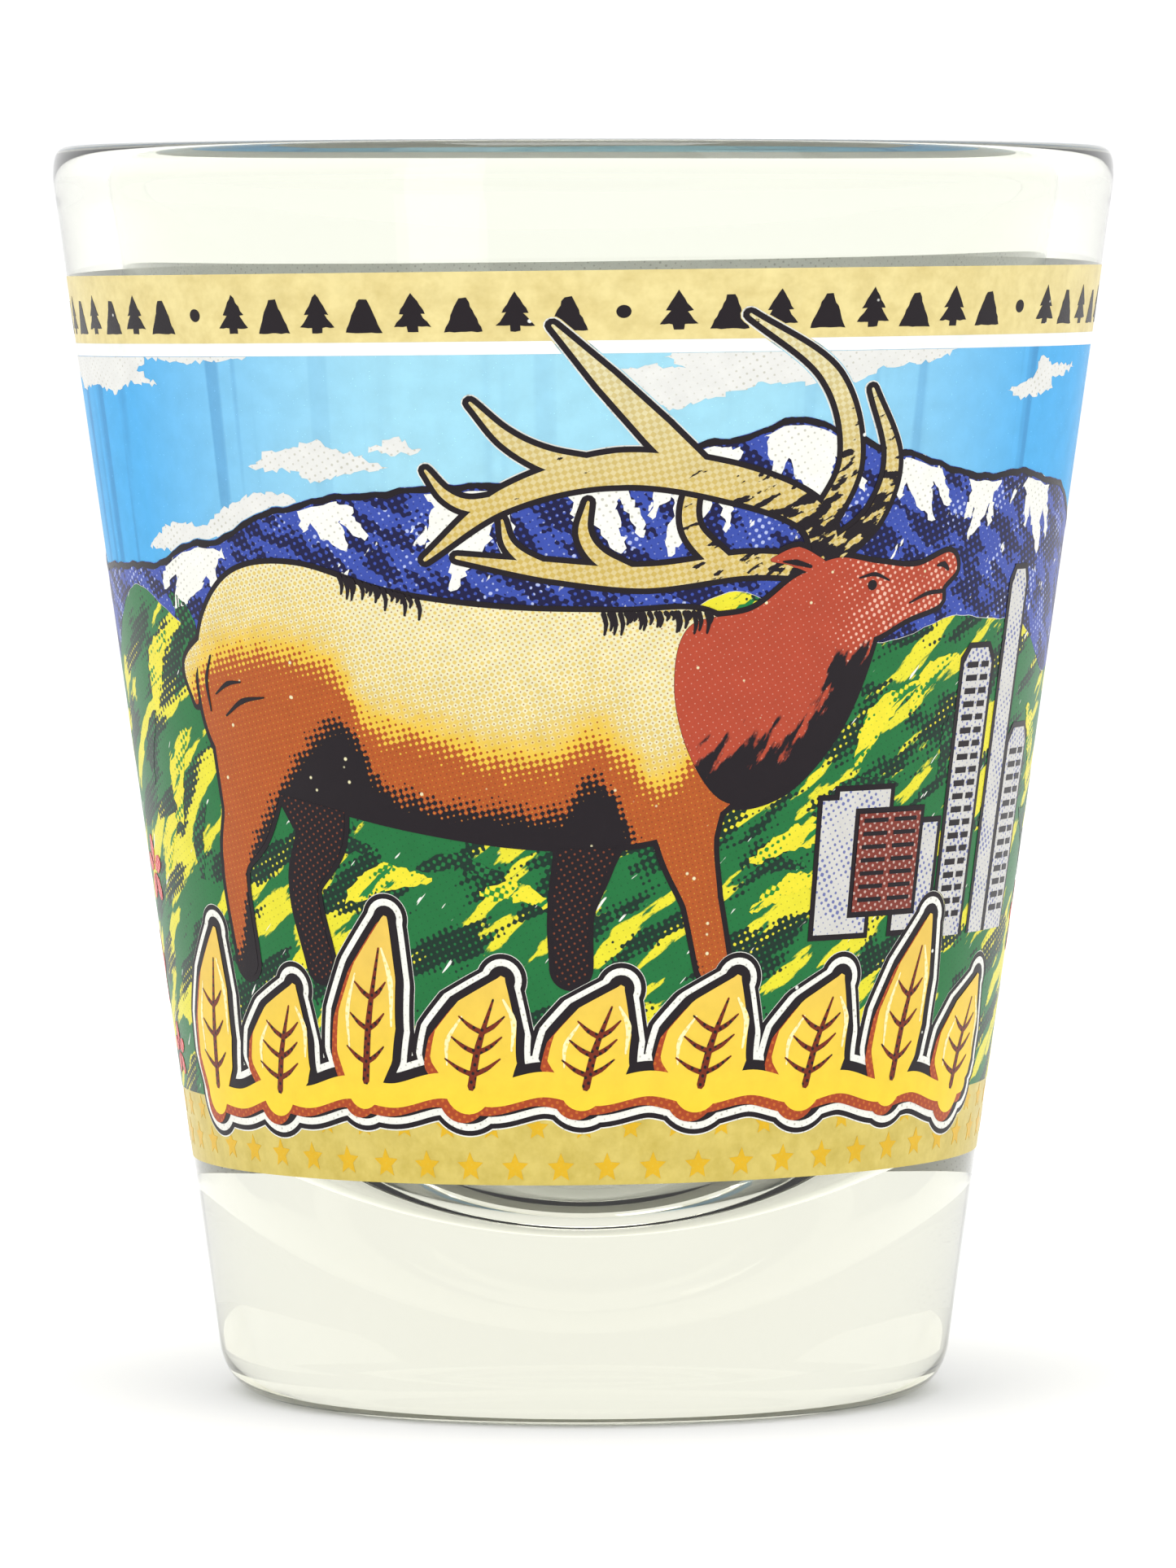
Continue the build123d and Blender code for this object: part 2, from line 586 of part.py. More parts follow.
def antler_ink():
    """Both antlers; the far one lies behind."""
    head = front_parts(0.02)
    near = union([stroke(path, widths) for path, widths in NEAR_ANTLER])
    far = union([stroke(path, widths) for path, widths in FAR_ANTLER])
    gap = union([stroke(path, widths, KEY) for path, widths in NEAR_ANTLER])
    return (near - head) + (far - gap - head)


FLANK = [
    (-18.8, 35.6), (-15.6, 36.6), (-12.6, 34.4), (-10.2, 31.6), (-4.0, 30.4), (2.6, 30.8), (6.0, 32.6),
    (7.0, 30.8), (5.6, 29.2), (1.0, 28.4), (-6.0, 28.8), (-13.0, 30.0), (-17.2, 31.0), (-18.9, 33.0),
]


def elk_shade_ink():
    """Orange-brown on the haunch, belly, shoulder and legs."""
    legs = [stroke(path, [0.8 * w for w in widths]) for path, widths in (LEGS[0], LEGS[2])]
    return union([smooth_loop(FLANK), *legs]) - front_parts(0.05)


def elk_dark_ink():
    """Black shading: belly line, leg shadows, eye, nostril, mouth and mane strokes."""
    marks = [
        stroke([(-15.4, 30.6), (-9.0, 29.2), (-2.0, 28.2), (3.4, 28.2)], (0.15, 0.55, 0.60, 0.20)),
        stroke([(-14.9, 30.8), (-15.9, 28.6), (-17.9, 26.2)], (0.30, 0.45, 0.12)),
        stroke([(2.9, 30.6), (3.2, 28.0), (4.7, 25.2)], (0.25, 0.38, 0.12)),
        stroke([(-12.4, 33.0), (-11.8, 31.4), (-12.6, 30.0)], (0.08, 0.30, 0.12)),
        disc(13.2, 39.3, 0.24),
        stroke([(16.9, 40.1), (17.3, 40.15), (17.6, 39.9)], (0.06, 0.15, 0.08)),
        stroke([(17.5, 38.9), (16.4, 38.8), (15.4, 38.4)], (0.10, 0.10, 0.04)),
        stroke([(10.0, 40.25), (9.3, 40.45), (8.7, 40.5)], (0.08, 0.14, 0.04)),
    ]
    for k in range(9):
        s, z = 12.4 - 0.62 * k, 35.4 - 0.62 * k
        marks.append(stroke([(s, z), (s - 0.5, z - 0.9), (s - 0.7, z - 1.9)], (0.05, 0.20, 0.04)))
        marks.append(stroke([(s - 1.9, z + 0.2), (s - 2.2, z - 0.7), (s - 2.7, z - 1.4)], (0.04, 0.13, 0.03)))
    return union(marks)


# ================================================================ the ornament

LEAVES = (
    (-22.7, 8.5, 1.85), (-16.9, 5.6, 2.15), (-11.1, 8.7, 1.65), (-5.3, 5.7, 2.2), (0.5, 5.2, 2.0),
    (6.3, 5.6, 2.2), (12.1, 5.6, 2.15), (17.9, 8.5, 1.75), (23.6, 5.7, 2.2),
)
LEAF_SHAPE = (0.55, 0.98, 1.0, 0.72, 0.10)  # half widths up a leaf, against its widest
STEM_KNOTS = 19
VEINS = (0.22, 0.40, 0.57)  # where side veins leave the rib, up a leaf
RIM_GROW, WHITE_GROW, OUTLINE_GROW = 1.02, 0.78, 0.46
DROP = (-0.30, -0.36)


def garland_base(s):
    """The ornament's lower line sags towards its ends."""
    return 15.6 - 0.0019 * s * s


def garland(grow, shift=(0.0, 0.0)):
    """A row of plump leaves leaning right on a wavy stem."""
    dx, dz = shift
    start, end = LEAVES[0][0] - 0.6, LEAVES[-1][0] + 1.0
    stem = []
    for k in range(STEM_KNOTS):
        s = start + (end - start) * k / (STEM_KNOTS - 1)
        stem.append((s + dx, garland_base(s) + 0.55 + dz + 0.22 * (-1) ** k))
    shapes = [stroke(stem, (0.45, 0.60, 0.60, 0.45), grow)]
    for s, tall, half in LEAVES:
        z = garland_base(s) + dz
        path = [(s + dx - 0.6, z + 0.6), (s + dx - 0.1, z + tall * 0.45), (s + dx + 1.3, z + tall)]
        shapes.append(stroke(path, [half * share for share in LEAF_SHAPE], grow))
    return union(shapes)


def leaf_rib(s, tall, share):
    """A point on a leaf's middle rib, at a share of its height."""
    return s - 0.5 + share * (0.7 + 1.1 * share), garland_base(s) + tall * share


def ornament_vein_ink():
    """A dark middle rib up each leaf, with side veins leaning out and up from it."""
    veins = []
    for s, tall, half in LEAVES:
        rib = [leaf_rib(s, tall, share) for share in (0.12, 0.45, 0.84)]
        veins.append(stroke(rib, (0.20, 0.17, 0.05)))
        for share in VEINS:
            a, z = leaf_rib(s, tall, share)
            reach = half * (0.72 - 0.35 * share)
            for side in (-1, 1):
                tip = (a + side * reach, z + 0.75)
                veins.append(stroke([(a, z), (a + side * reach * 0.5, z + 0.28), tip], (0.13, 0.11, 0.04)))
    return union(veins)


def ornament_shine_ink():
    """Pale highlights inside the upper right and the left edge of each leaf."""
    shines = []
    for s, tall, half in LEAVES:
        z = garland_base(s)
        right = [(s + half * 0.62, z + tall * 0.84), (s + half * 0.84, z + tall * 0.66),
                 (s + half * 0.78, z + tall * 0.42)]
        left = [(s - half * 0.74, z + tall * 0.30), (s - half * 0.70, z + tall * 0.50),
                (s - half * 0.34, z + tall * 0.70)]
        shines.append(stroke(right, (0.05, 0.15, 0.05)))
        shines.append(stroke(left, (0.04, 0.12, 0.04)))
    return union(shines) - ornament_vein_ink()


# ================================================================ the bands

def ring_band(low, high):
    """A plain band all the way round."""
    return union([between(level_line(low), level_line(high))])


def motif(s, peak):
    """A little peak or a little tree, standing in the upper band."""
    low, high = MOTIF_SPAN
    if peak:
        half = [(0.80, low), (0.16, high - 0.15)]
    else:
        half = [(0.22, low), (0.22, low + 0.25), (0.78, low + 0.25), (0.34, low + 0.85),
                (0.56, low + 0.85), (0.0, high + 0.12)]
    right = [(s + across, z) for across, z in half]
    left = [(s - across, z) for across, z in reversed(half) if across]
    return polygon(right + left)


def band_motif_ink():
    """Seven groups of little trees and peaks round the upper band, with a dot between groups."""
    turn = 2 * HALF_TURN
    block = turn / MOTIF_BLOCKS
    pitch = block * 0.77 / (MOTIFS_PER_BLOCK - 1)
    shapes = []
    for b in range(MOTIF_BLOCKS):
        dot = 1.6 + (b - 3) * block
        shapes.append(disc(dot, sum(MOTIF_SPAN) / 2, BAND_DOT))
        for k in range(MOTIFS_PER_BLOCK):
            s = dot + block * 0.115 + k * pitch
            s = s - turn if s > HALF_TURN else s
            shapes.append(motif(s, k % 2 == 1))
    return union(shapes) - elk_silhouette(KEY + 0.10)


def star(s, z, size):
    """A five-pointed star."""
    points = []
    for k in range(10):
        reach = size if k % 2 == 0 else size * 0.46
        angle = pi / 2 + k * pi / 5
        points.append((s + reach * cos(angle), z + reach * sin(angle)))
    return polygon(points)


def star_ink():
    """Two rows of ochre stars along the lower band, the upper one half behind the ornament."""
    pitch = 2 * HALF_TURN / STARS_PER_ROW
    stars = []
    for k in range(STARS_PER_ROW):
        s = -HALF_TURN + (k + 0.5) * pitch
        z, size = LOWER_STARS
        stars.append(star(s, z - 0.25 * cos(s / ART_RADIUS * 2), size))
        if k < STARS_PER_ROW - 1:
            stars.append(star(s + pitch / 2, *UPPER_STARS))
    return union(stars) - garland(RIM_GROW + 0.10)


# ================================================================ all together

def white_underbase():
    """Opaque white under everything but the sky and the bands."""
    landscape = between(level_line(ART_BOTTOM + 0.2), RIDGE)
    return union([landscape, *elk_shapes(KEY + 0.06)]) + garland(RIM_GROW + 0.06)


def white_line_ink():
    """The white line between the sky and the upper band, broken by the antlers."""
    line = between(level_line(SKY_TOP - 0.15), level_line(UPPER_BAND[0] + 0.15))
    return union([line]) - elk_silhouette(KEY + 0.10)


def films():
    """Every ink film by name: its level from the glass outward, and its flat shape."""
    ornament_edge = garland(RIM_GROW + 0.04)

    def behind_ornament(shape):
        return shape - ornament_edge

    return {
        "sky_ink": (0, union([sky_ink()])),
        "upper_band_ink": (0, ring_band(*UPPER_BAND)),
        "lower_band_ink": (0, ring_band(*LOWER_BAND)),
        "white_underbase": (1, white_underbase()),
        "white_line_ink": (1, white_line_ink()),
        "cloud_ink": (1, cloud_ink()),
        "band_motif_ink": (1, band_motif_ink()),
        "star_ink": (1, star_ink()),
        "mountain_ink": (2, union([mountain_ink()])),
        "hill_ink": (2, behind_ornament(union([hill_ink()]))),
        "snow_ink": (3, snow_ink()),
        "ridge_line_ink": (3, union([ridge_line_ink()])),
        "meadow_ink": (3, behind_ornament(meadow_ink())),
        "hill_shade_ink": (3, behind_ornament(hill_shade_ink())),
        "skyline_outline_ink": (4, behind_ornament(skyline_outline_ink())),
        "skyline_ink": (5, behind_ornament(skyline_ink() - upright(*BRICK_BLOCK, KEY))),
        "pine_ink": (4, behind_ornament(pine_ink())),
        "blossom_ink": (4, behind_ornament(blossom_ink())),
        "brick_ink": (6, behind_ornament(brick_ink())),
        "tower_window_ink": (6, behind_ornament(tower_window_ink())),
        "brick_window_ink": (7, behind_ornament(brick_window_ink())),
        "elk_outline_ink": (4, behind_ornament(elk_silhouette(KEY))),
        "elk_coat_ink": (5, behind_ornament(elk_coat_ink())),
        "elk_far_leg_ink": (5, behind_ornament(far_leg_ink())),
        "elk_mane_ink": (5, front_parts(0.0)),
        "antler_ink": (5, antler_ink()),
        "elk_shade_ink": (6, behind_ornament(elk_shade_ink())),
        "elk_dark_ink": (7, behind_ornament(elk_dark_ink())),
        "ornament_rim_ink": (2, garland(RIM_GROW)),
        "ornament_white_ink": (3, garland(WHITE_GROW)),
        "ornament_outline_ink": (4, garland(OUTLINE_GROW)),
        "ornament_shadow_ink": (5, garland(0.06, DROP)),
        "ornament_face_ink": (6, garland(0.0)),
        "ornament_vein_ink": (7, ornament_vein_ink()),
        "ornament_shine_ink": (7, ornament_shine_ink()),
    }


def save(shape, name):
    """Writes one node."""
    shape.label = name
    export_step(shape, f"parts/{name}.step")


def main():
    os.makedirs("parts", exist_ok=True)
    save(glass_body(), "glass_body")
    for name, (level, shape) in films().items():
        save(Compound(film(shape, level)), name)


main()
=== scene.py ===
import random
from math import atan2, cos, pi, radians, sin

import bpy
from mathutils import Euler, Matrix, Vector
from mathutils.geometry import delaunay_2d_cdt


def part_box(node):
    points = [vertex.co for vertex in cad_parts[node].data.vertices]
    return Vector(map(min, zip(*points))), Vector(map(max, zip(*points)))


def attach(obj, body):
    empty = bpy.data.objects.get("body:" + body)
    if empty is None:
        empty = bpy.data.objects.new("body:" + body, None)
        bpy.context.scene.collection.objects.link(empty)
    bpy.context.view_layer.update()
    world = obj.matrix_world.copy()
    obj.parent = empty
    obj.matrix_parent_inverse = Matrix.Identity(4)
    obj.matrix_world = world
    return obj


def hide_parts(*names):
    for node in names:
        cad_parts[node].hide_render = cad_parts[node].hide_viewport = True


# The glass and its printed wrap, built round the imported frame. The picture is drawn flat in
# millimetres, s round the wall and z up, and then laid on the glass's tapered wall.

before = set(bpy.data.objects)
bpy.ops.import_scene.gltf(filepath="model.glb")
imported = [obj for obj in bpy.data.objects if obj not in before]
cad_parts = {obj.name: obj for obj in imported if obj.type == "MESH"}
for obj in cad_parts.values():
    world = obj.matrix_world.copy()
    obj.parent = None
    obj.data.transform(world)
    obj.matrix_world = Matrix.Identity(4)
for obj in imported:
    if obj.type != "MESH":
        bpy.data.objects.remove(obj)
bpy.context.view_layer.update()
MM = 0.001
GLASS_LOW, GLASS_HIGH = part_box("glass_body")
HEIGHT = GLASS_HIGH.z / MM
RIM_RADIUS = (GLASS_HIGH.x - GLASS_LOW.x) / 2 / MM

# ---- the glass, in millimetres ----
CONE_RADIUS_AT_FLOOR = 17.31
CONE_SLOPE = 0.1403
WALL_AT_LIP = 2.6
WALL_AT_FLOOR = 3.3
LIP_CREST_RADIUS = 23.9
LIP_BULGE_HEIGHT = HEIGHT - 1.5
BEAD_HEIGHT = HEIGHT - 3.0
INSIDE_FLOOR_HEIGHT = 8.8
INSIDE_WALL_START = 20.0
FOOT_RING_RADIUS = 15.5
FOOT_RING_WIDTH = 2.0
FOOT_EDGE_HEIGHT = 2.3
PUNT_HEIGHT = 0.8
TURNS = 288  # divisions of the glass round its axis
WALL_RINGS = 40  # and up each straight wall

# ---- the printed wrap ----
ART_RADIUS = 21.2
HALF_TURN = pi * ART_RADIUS
PRINT_TILT = 0.0105
UPPER_BAND = (50.65, 54.0)
LOWER_BAND = (11.6, 17.5)
ART_BOTTOM = 15.0
TRAP = 0.5  # neighbouring inks run this far under each other
SKY_TOP = 50.35
KEY = 0.27  # width of the black outlines
SPREAD = 0.06  # how far an ink spreads past the edge of the one it backs
CLEAR = 0.10  # the gap left round an outline
LINE_LAP = 0.15  # how far the white line runs over the sky and the upper band
OUTLINE_STEP = 0.22  # spacing of the points on curved outlines
WALL_STEP = 1.0  # films are divided this often to follow the round wall
INK_PITCH = 0.012  # from one ink to the next outward
INK_FILM = 0.010
BACKING = -1  # the level of the white behind the tan bands
BACKING_OUTER = -0.018
BACKING_INNER = -0.030
INTO_GLASS = -0.010  # the lowest inks reach into the glass, so there is no air between


def cone_radius(z):
    """Outer radius of the straight wall at height z."""
    return CONE_RADIUS_AT_FLOOR + CONE_SLOPE * z


def inside_radius(z):
    """Radius of the straight inside wall at height z."""
    share = (z - INSIDE_WALL_START) / (HEIGHT - INSIDE_WALL_START)
    return cone_radius(z) - WALL_AT_FLOOR + (WALL_AT_FLOOR - WALL_AT_LIP) * share


# ---- camera, light and floor ----

CAMERA_DISTANCE = 460.0
CAMERA_HEIGHT = 53.9
CAMERA_SIDE = 0.2
CAMERA_PITCH = 3.07
CAMERA_ROLL = -0.05
CAMERA_LENS = 219.0
FLOOR_SIZE = 8.0


def make_camera():
    """Almost level with the rim, from far off, through a long lens."""
    data = bpy.data.cameras.new("camera")
    data.lens = CAMERA_LENS
    data.clip_start = 0.01
    camera = bpy.data.objects.new("camera", data)
    bpy.context.scene.collection.objects.link(camera)
    camera.location = (CAMERA_SIDE * MM, -CAMERA_DISTANCE * MM, CAMERA_HEIGHT * MM)
    look = Euler((radians(90 - CAMERA_PITCH), 0, 0)).to_matrix()
    roll = Euler((0, 0, radians(CAMERA_ROLL))).to_matrix()
    camera.rotation_euler = (look @ roll).to_euler()
    bpy.context.scene.camera = camera


def make_world():
    """An even, bright white surround."""
    world = bpy.data.worlds.new("studio")
    world.use_nodes = True
    background = world.node_tree.nodes["Background"]
    background.inputs["Color"].default_value = (1.0, 1.0, 1.0, 1.0)
    background.inputs["Strength"].default_value = 1.10
    bpy.context.scene.world = world
    bpy.context.scene.view_settings.view_transform = "Standard"


def plain(name, colour):
    """A matt plain material."""
    material = bpy.data.materials.new(name)
    material.use_nodes = True
    shader = material.node_tree.nodes["Principled BSDF"]
    shader.inputs["Base Color"].default_value = (*colour, 1.0)
    shader.inputs["Roughness"].default_value = 0.9
    return material


def make_floor():
    """A wide white floor."""
    half = FLOOR_SIZE / 2
    mesh = bpy.data.meshes.new("floor")
    corners = [(-half, -half, 0), (half, -half, 0), (half, half, 0), (-half, half, 0)]
    mesh.from_pydata(corners, [], [(0, 1, 2, 3)])
    mesh.materials.append(plain("floor_white", (0.985, 0.985, 0.98)))
    floor = bpy.data.objects.new("floor", mesh)
    bpy.context.scene.collection.objects.link(floor)


def lamp(name, place, aim, size, power):
    """A soft rectangular lamp."""
    data = bpy.data.lights.new(name, "AREA")
    data.size = size
    data.energy = power
    obj = bpy.data.objects.new(name, data)
    bpy.context.scene.collection.objects.link(obj)
    obj.location = place
    obj.rotation_euler = (Vector(aim) - Vector(place)).to_track_quat("-Z", "Y").to_euler()
    return obj


def make_lamps():
    lamp("key_lamp", (-0.35, -0.55, 0.65), (0, 0, 0.03), 0.35, 0.5)
    lamp("top_lamp", (0, -0.05, 0.62), (0, 0, 0.05), 0.30, 1.2)
    lamp("fill_lamp", (0.45, -0.60, 0.35), (0, 0, 0.03), 0.30, 0.3)


# ---- node shorthand ----

class Graph:
    """A material's node tree, with short calls for the nodes used here."""

    def __init__(self, name):
        self.material = bpy.data.materials.new(name)
        self.material.use_nodes = True
        self.tree = self.material.node_tree
        self.shader = self.tree.nodes["Principled BSDF"]

    def put(self, socket, value):
        if isinstance(value, bpy.types.NodeSocket):
            self.tree.links.new(value, socket)
        elif isinstance(value, (tuple, list)) and socket.type == "RGBA":
            socket.default_value = (*value[:3], 1.0)
        else:
            socket.default_value = value

    def node(self, kind, inputs, **settings):
        made = self.tree.nodes.new(kind)
        for key, value in settings.items():
            setattr(made, key, value)
        for key, value in inputs.items():
            self.put(made.inputs[key], value)
        return made

    def math(self, operation, a, b=0.0, clamp=False):
        made = self.node("ShaderNodeMath", {0: a, 1: b}, operation=operation, use_clamp=clamp)
        return made.outputs[0]

    def add(self, a, b):
        return self.math("ADD", a, b)

    def times(self, a, b):
        return self.math("MULTIPLY", a, b)

    def ramp(self, value, low, high, start=0.0, end=1.0):
        """Value mapped from low..high to start..end, held at the ends."""
        made = self.node("ShaderNodeMapRange", {"Value": value, "From Min": low, "From Max": high,
                                               "To Min": start, "To Max": end})
        return made.outputs["Result"]

    def mix(self, share, a, b):
        made = self.node("ShaderNodeMix", {0: share, 6: a, 7: b}, data_type="RGBA")
        return made.outputs[2]

    def noise(self, coords, scale, detail=2.0, roughness=0.5):
        made = self.node("ShaderNodeTexNoise", {"Vector": coords, "Scale": scale, "Detail": detail,
                                               "Roughness": roughness})
        return made.outputs["Fac"]

    def flat(self):
        """Where on the flat drawing a point lies: s and z in millimetres."""
        place = self.node("ShaderNodeTexCoord", {}).outputs["Object"]
        split = self.node("ShaderNodeSeparateXYZ", {0: place})
        x, y, z = split.outputs
        angle = self.math("ARCTAN2", x, self.times(y, -1.0))
        height = self.math("SUBTRACT", self.times(z, 1 / MM), self.times(x, PRINT_TILT / MM))
        return self.times(angle, ART_RADIUS), height

    def join(self, s, z, w=0.0):
        return self.node("ShaderNodeCombineXYZ", {0: s, 1: z, 2: w}).outputs[0]

    def screen(self, s, z, coverage, pitch=0.33, turn=30.0, soft=0.16):
        """A printer's dot screen: 1 inside the dots, for a coverage from 0 to 1."""
        c, d = cos(radians(turn)) * 2 * pi / pitch, sin(radians(turn)) * 2 * pi / pitch
        u = self.add(self.times(s, c), self.times(z, d))
        v = self.add(self.times(s, -d), self.times(z, c))
        waves = self.add(self.math("COSINE", u), self.math("COSINE", v))
        level = self.add(self.times(waves, 0.25), 0.5)
        edge = self.math("SUBTRACT", 1.0, coverage)
        over = self.math("SUBTRACT", level, edge)
        return self.ramp(over, -soft / 2, soft / 2)

    def pinholes(self, s, z, spacing=1.1, size=0.10, share=0.5):
        """Tiny scattered gaps in a dark ink."""
        cells = self.node("ShaderNodeTexVoronoi", {"Vector": self.join(s, z), "Scale": 1 / spacing})
        near = self.ramp(cells.outputs["Distance"], size * 0.6 / spacing, size / spacing, 1.0, 0.0)
        pick = self.node("ShaderNodeSeparateXYZ", {0: cells.outputs["Color"]}).outputs[0]
        return self.times(near, self.math("LESS_THAN", pick, share))

    def finish_ink(self, colour, s, z, roughness=0.34):
        """Fired ink: slightly uneven density and surface, with a soft gloss."""
        coords = self.join(s, z)
        density = self.ramp(self.noise(coords, 0.9, 4.0, 0.6), 0.25, 0.75, 0.93, 1.05)
        shade = self.node("ShaderNodeVectorMath", {0: colour, 3: density}, operation="SCALE")
        grain = self.noise(coords, 9.0, 2.0)
        bump = self.node("ShaderNodeBump", {"Strength": 0.10, "Distance": 0.00002, "Height": grain})
        self.put(self.shader.inputs["Base Color"], shade.outputs[0])
        gloss = self.ramp(grain, 0.2, 0.8, roughness - 0.05, roughness + 0.07)
        self.put(self.shader.inputs["Roughness"], gloss)
        self.put(self.shader.inputs["Normal"], bump.outputs[0])
        self.shader.inputs["Specular IOR Level"].default_value = 0.16
        return self.material


# ---- drawing in the flat ----

def between_knots(a, b, c, d, t):
    """One coordinate of a smooth curve at share t of the way from b to c."""
    square = 2 * a - 5 * b + 4 * c - d
    cube = 3 * b - a - 3 * c + d
    return 0.5 * (2 * b + (c - a) * t + square * t * t + cube * t ** 3)


def smooth_path(points, closed=False):
    """Points along a smooth curve through a few given ones, with the share of the way at each."""
    count = len(points)
    spans = count if closed else count - 1
    path = []
    for k in range(spans):
        if closed:
            p0, p1, p2, p3 = (points[(k + j - 1) % count] for j in range(4))
        else:
            p1, p2 = points[k], points[k + 1]
            p0 = points[k - 1] if k else tuple(2 * a - b for a, b in zip(p1, p2))
            p3 = points[k + 2] if k + 2 < count else tuple(2 * b - a for a, b in zip(p1, p2))
        length = ((p2[0] - p1[0]) ** 2 + (p2[1] - p1[1]) ** 2) ** 0.5
        steps = max(2, round(length / OUTLINE_STEP))
        for j in range(steps):
            t = j / steps
            place = tuple(between_knots(*knots, t) for knots in zip(p0, p1, p2, p3))
            path.append((place, (k + t) / spans))
    if not closed:
        path.append((tuple(points[-1]), 1.0))
    return path


def headings(places, closed):
    """Unit directions along a run of places."""
    result = []
    last = len(places) - 1
    for k in range(len(places)):
        a = places[k - 1] if k or closed else places[0]
        b = places[(k + 1) % len(places)] if k < last or closed else places[last]
        run, rise = b[0] - a[0], b[1] - a[1]
        length = max((run * run + rise * rise) ** 0.5, 1e-9)
        result.append((run / length, rise / length))
    return result


def smooth_loop(points, grow=0.0):
    """A closed smooth outline through a few points, grown outward."""
    places = [place for place, _ in smooth_path(points, closed=True)]
    area = sum(a[0] * b[1] - b[0] * a[1] for a, b in zip(places, places[1:] + places[:1]))
    side = grow if area > 0 else -grow
    return [(p[0] + side * t[1], p[1] - side * t[0]) for p, t in zip(places, headings(places, True))]


def half_width_at(widths, share):
    """Half widths are given evenly along a stroke; straight between them."""
    place = share * (len(widths) - 1)
    index = min(int(place), len(widths) - 2)
    return widths[index] + (widths[index + 1] - widths[index]) * (place - index)


def stroke(points, widths, grow=0.0):
    """A brush stroke: a smooth centre line with half widths along it and round ends."""
    path = smooth_path(points)
    places = [place for place, _ in path]
    lines = headings(places, False)
    halves = [half_width_at(widths, share) + grow for _, share in path]
    left = [(p[0] - h * t[1], p[1] + h * t[0]) for p, t, h in zip(places, lines, halves)]
    right = [(p[0] + h * t[1], p[1] - h * t[0]) for p, t, h in zip(places, lines, halves)]

    def cap(place, line, half, turn):
        start = atan2(line[1], line[0]) + turn
        steps = max(3, round(half * pi / OUTLINE_STEP))
        angles = [start - pi * k / steps for k in range(1, steps)]
        return [(place[0] + half * cos(a), place[1] + half * sin(a)) for a in angles]

    end_cap = cap(places[-1], lines[-1], halves[-1], pi / 2)
    start_cap = cap(places[0], lines[0], halves[0], -pi / 2)
    return left + end_cap + right[::-1] + start_cap


def disc(s, z, radius, points=20):
    """A round dot."""
    angles = [2 * pi * k / points for k in range(points)]
    return [(s + radius * cos(a), z + radius * sin(a)) for a in angles]


def between(low, high, step=0.3):
    """The strip all round the glass between two height functions."""
    turn = 2 * HALF_TURN
    count = round(turn / step)
    places = [-HALF_TURN + turn * k / count for k in range(count + 1)]
    return [(s, low(s)) for s in places] + [(s, high(s)) for s in reversed(places)]


def level_line(z):
    return lambda s: z


def profile_line(points, ripple=0.0):
    """A height function through (s, z) points that repeats every turn, with small bumps."""
    turn = 2 * HALF_TURN
    knots = [(s - turn, z) for s, z in points] + points + [(s + turn, z) for s, z in points]

    def height(s):
        for (s0, z0), (s1, z1) in zip(knots, knots[1:]):
            if s0 <= s <= s1:
                share = (s - s0) / (s1 - s0)
                ease = share * share * (3 - 2 * share)
                wave = sin(pi * 18 * s / HALF_TURN) + 0.6 * sin(pi * 31 * s / HALF_TURN)
                wave += 0.4 * sin(pi * 83 * s / HALF_TURN) + 0.3 * sin(pi * 131 * s / HALF_TURN)
                return z0 + (z1 - z0) * ease + ripple * wave
        return points[0][1]

    return height


# ---- from the flat onto the wall ----

def from_a_corner(outline):
    """The outline anticlockwise, from an outermost corner, where its inside is surely on the left."""
    area = sum(a[0] * b[1] - b[0] * a[1] for a, b in zip(outline, outline[1:] + outline[:1]))
    if area < 0:
        outline = outline[::-1]
    count = len(outline)
    for reach in ((0, -1), (0, 1), (-1, 0), (1, 0), (1, 1), (-1, 1), (1, -1), (-1, -1)):
        k = max(range(count), key=lambda i: outline[i][0] * reach[0] + outline[i][1] * reach[1])
        before, here, after = outline[k - 1], outline[k], outline[(k + 1) % count]
        turn = (here[0] - before[0]) * (after[1] - here[1]) - (here[1] - before[1]) * (after[0] - here[0])
        if turn > 1e-6:
            return outline[k:] + outline[:k]
    raise ValueError("an outline has no outer corner")


def fill(shapes, cuts):
    """Triangles that cover the shapes and none of the cuts, divided to follow the round wall."""
    points, faces = [], []
    for outline in [*shapes, *cuts]:
        faces.append(list(range(len(points), len(points) + len(outline))))
        points += [Vector(p) for p in from_a_corner(outline)]
    wanted = set(range(len(shapes)))
    low = min(p.x for p in points)
    high = max(p.x for p in points)
    bottom = min(p.y for p in points) - 1
    top = max(p.y for p in points) + 1
    edges = []
    for k in range(int(low / WALL_STEP) - 1, int(high / WALL_STEP) + 2):
        edges.append((len(points), len(points) + 1))
        points += [Vector((k * WALL_STEP, bottom)), Vector((k * WALL_STEP, top))]
    places, _, triangles, _, _, sources = delaunay_2d_cdt(points, edges, faces, 0, 1e-6, True)
    kept = []
    for triangle, source in zip(triangles, sources):
        owners = set(source)
        if owners and any(places[v].y > top - 0.5 or places[v].y < bottom + 0.5 for v in triangle):
            raise ValueError(f"outline {sorted(owners)} of {len(shapes)} and {len(cuts)} spills")
        if owners & wanted and not owners - wanted:
            kept.append(list(triangle))
    return places, kept


def on_wall(s, z, outward):
    """A point of the flat drawing on the glass, in metres."""
    angle = s / ART_RADIUS
    height = z + PRINT_TILT * cone_radius(z) * sin(angle)
    radius = cone_radius(height) + outward
    return (radius * sin(angle) * MM, -radius * cos(angle) * MM, height * MM)


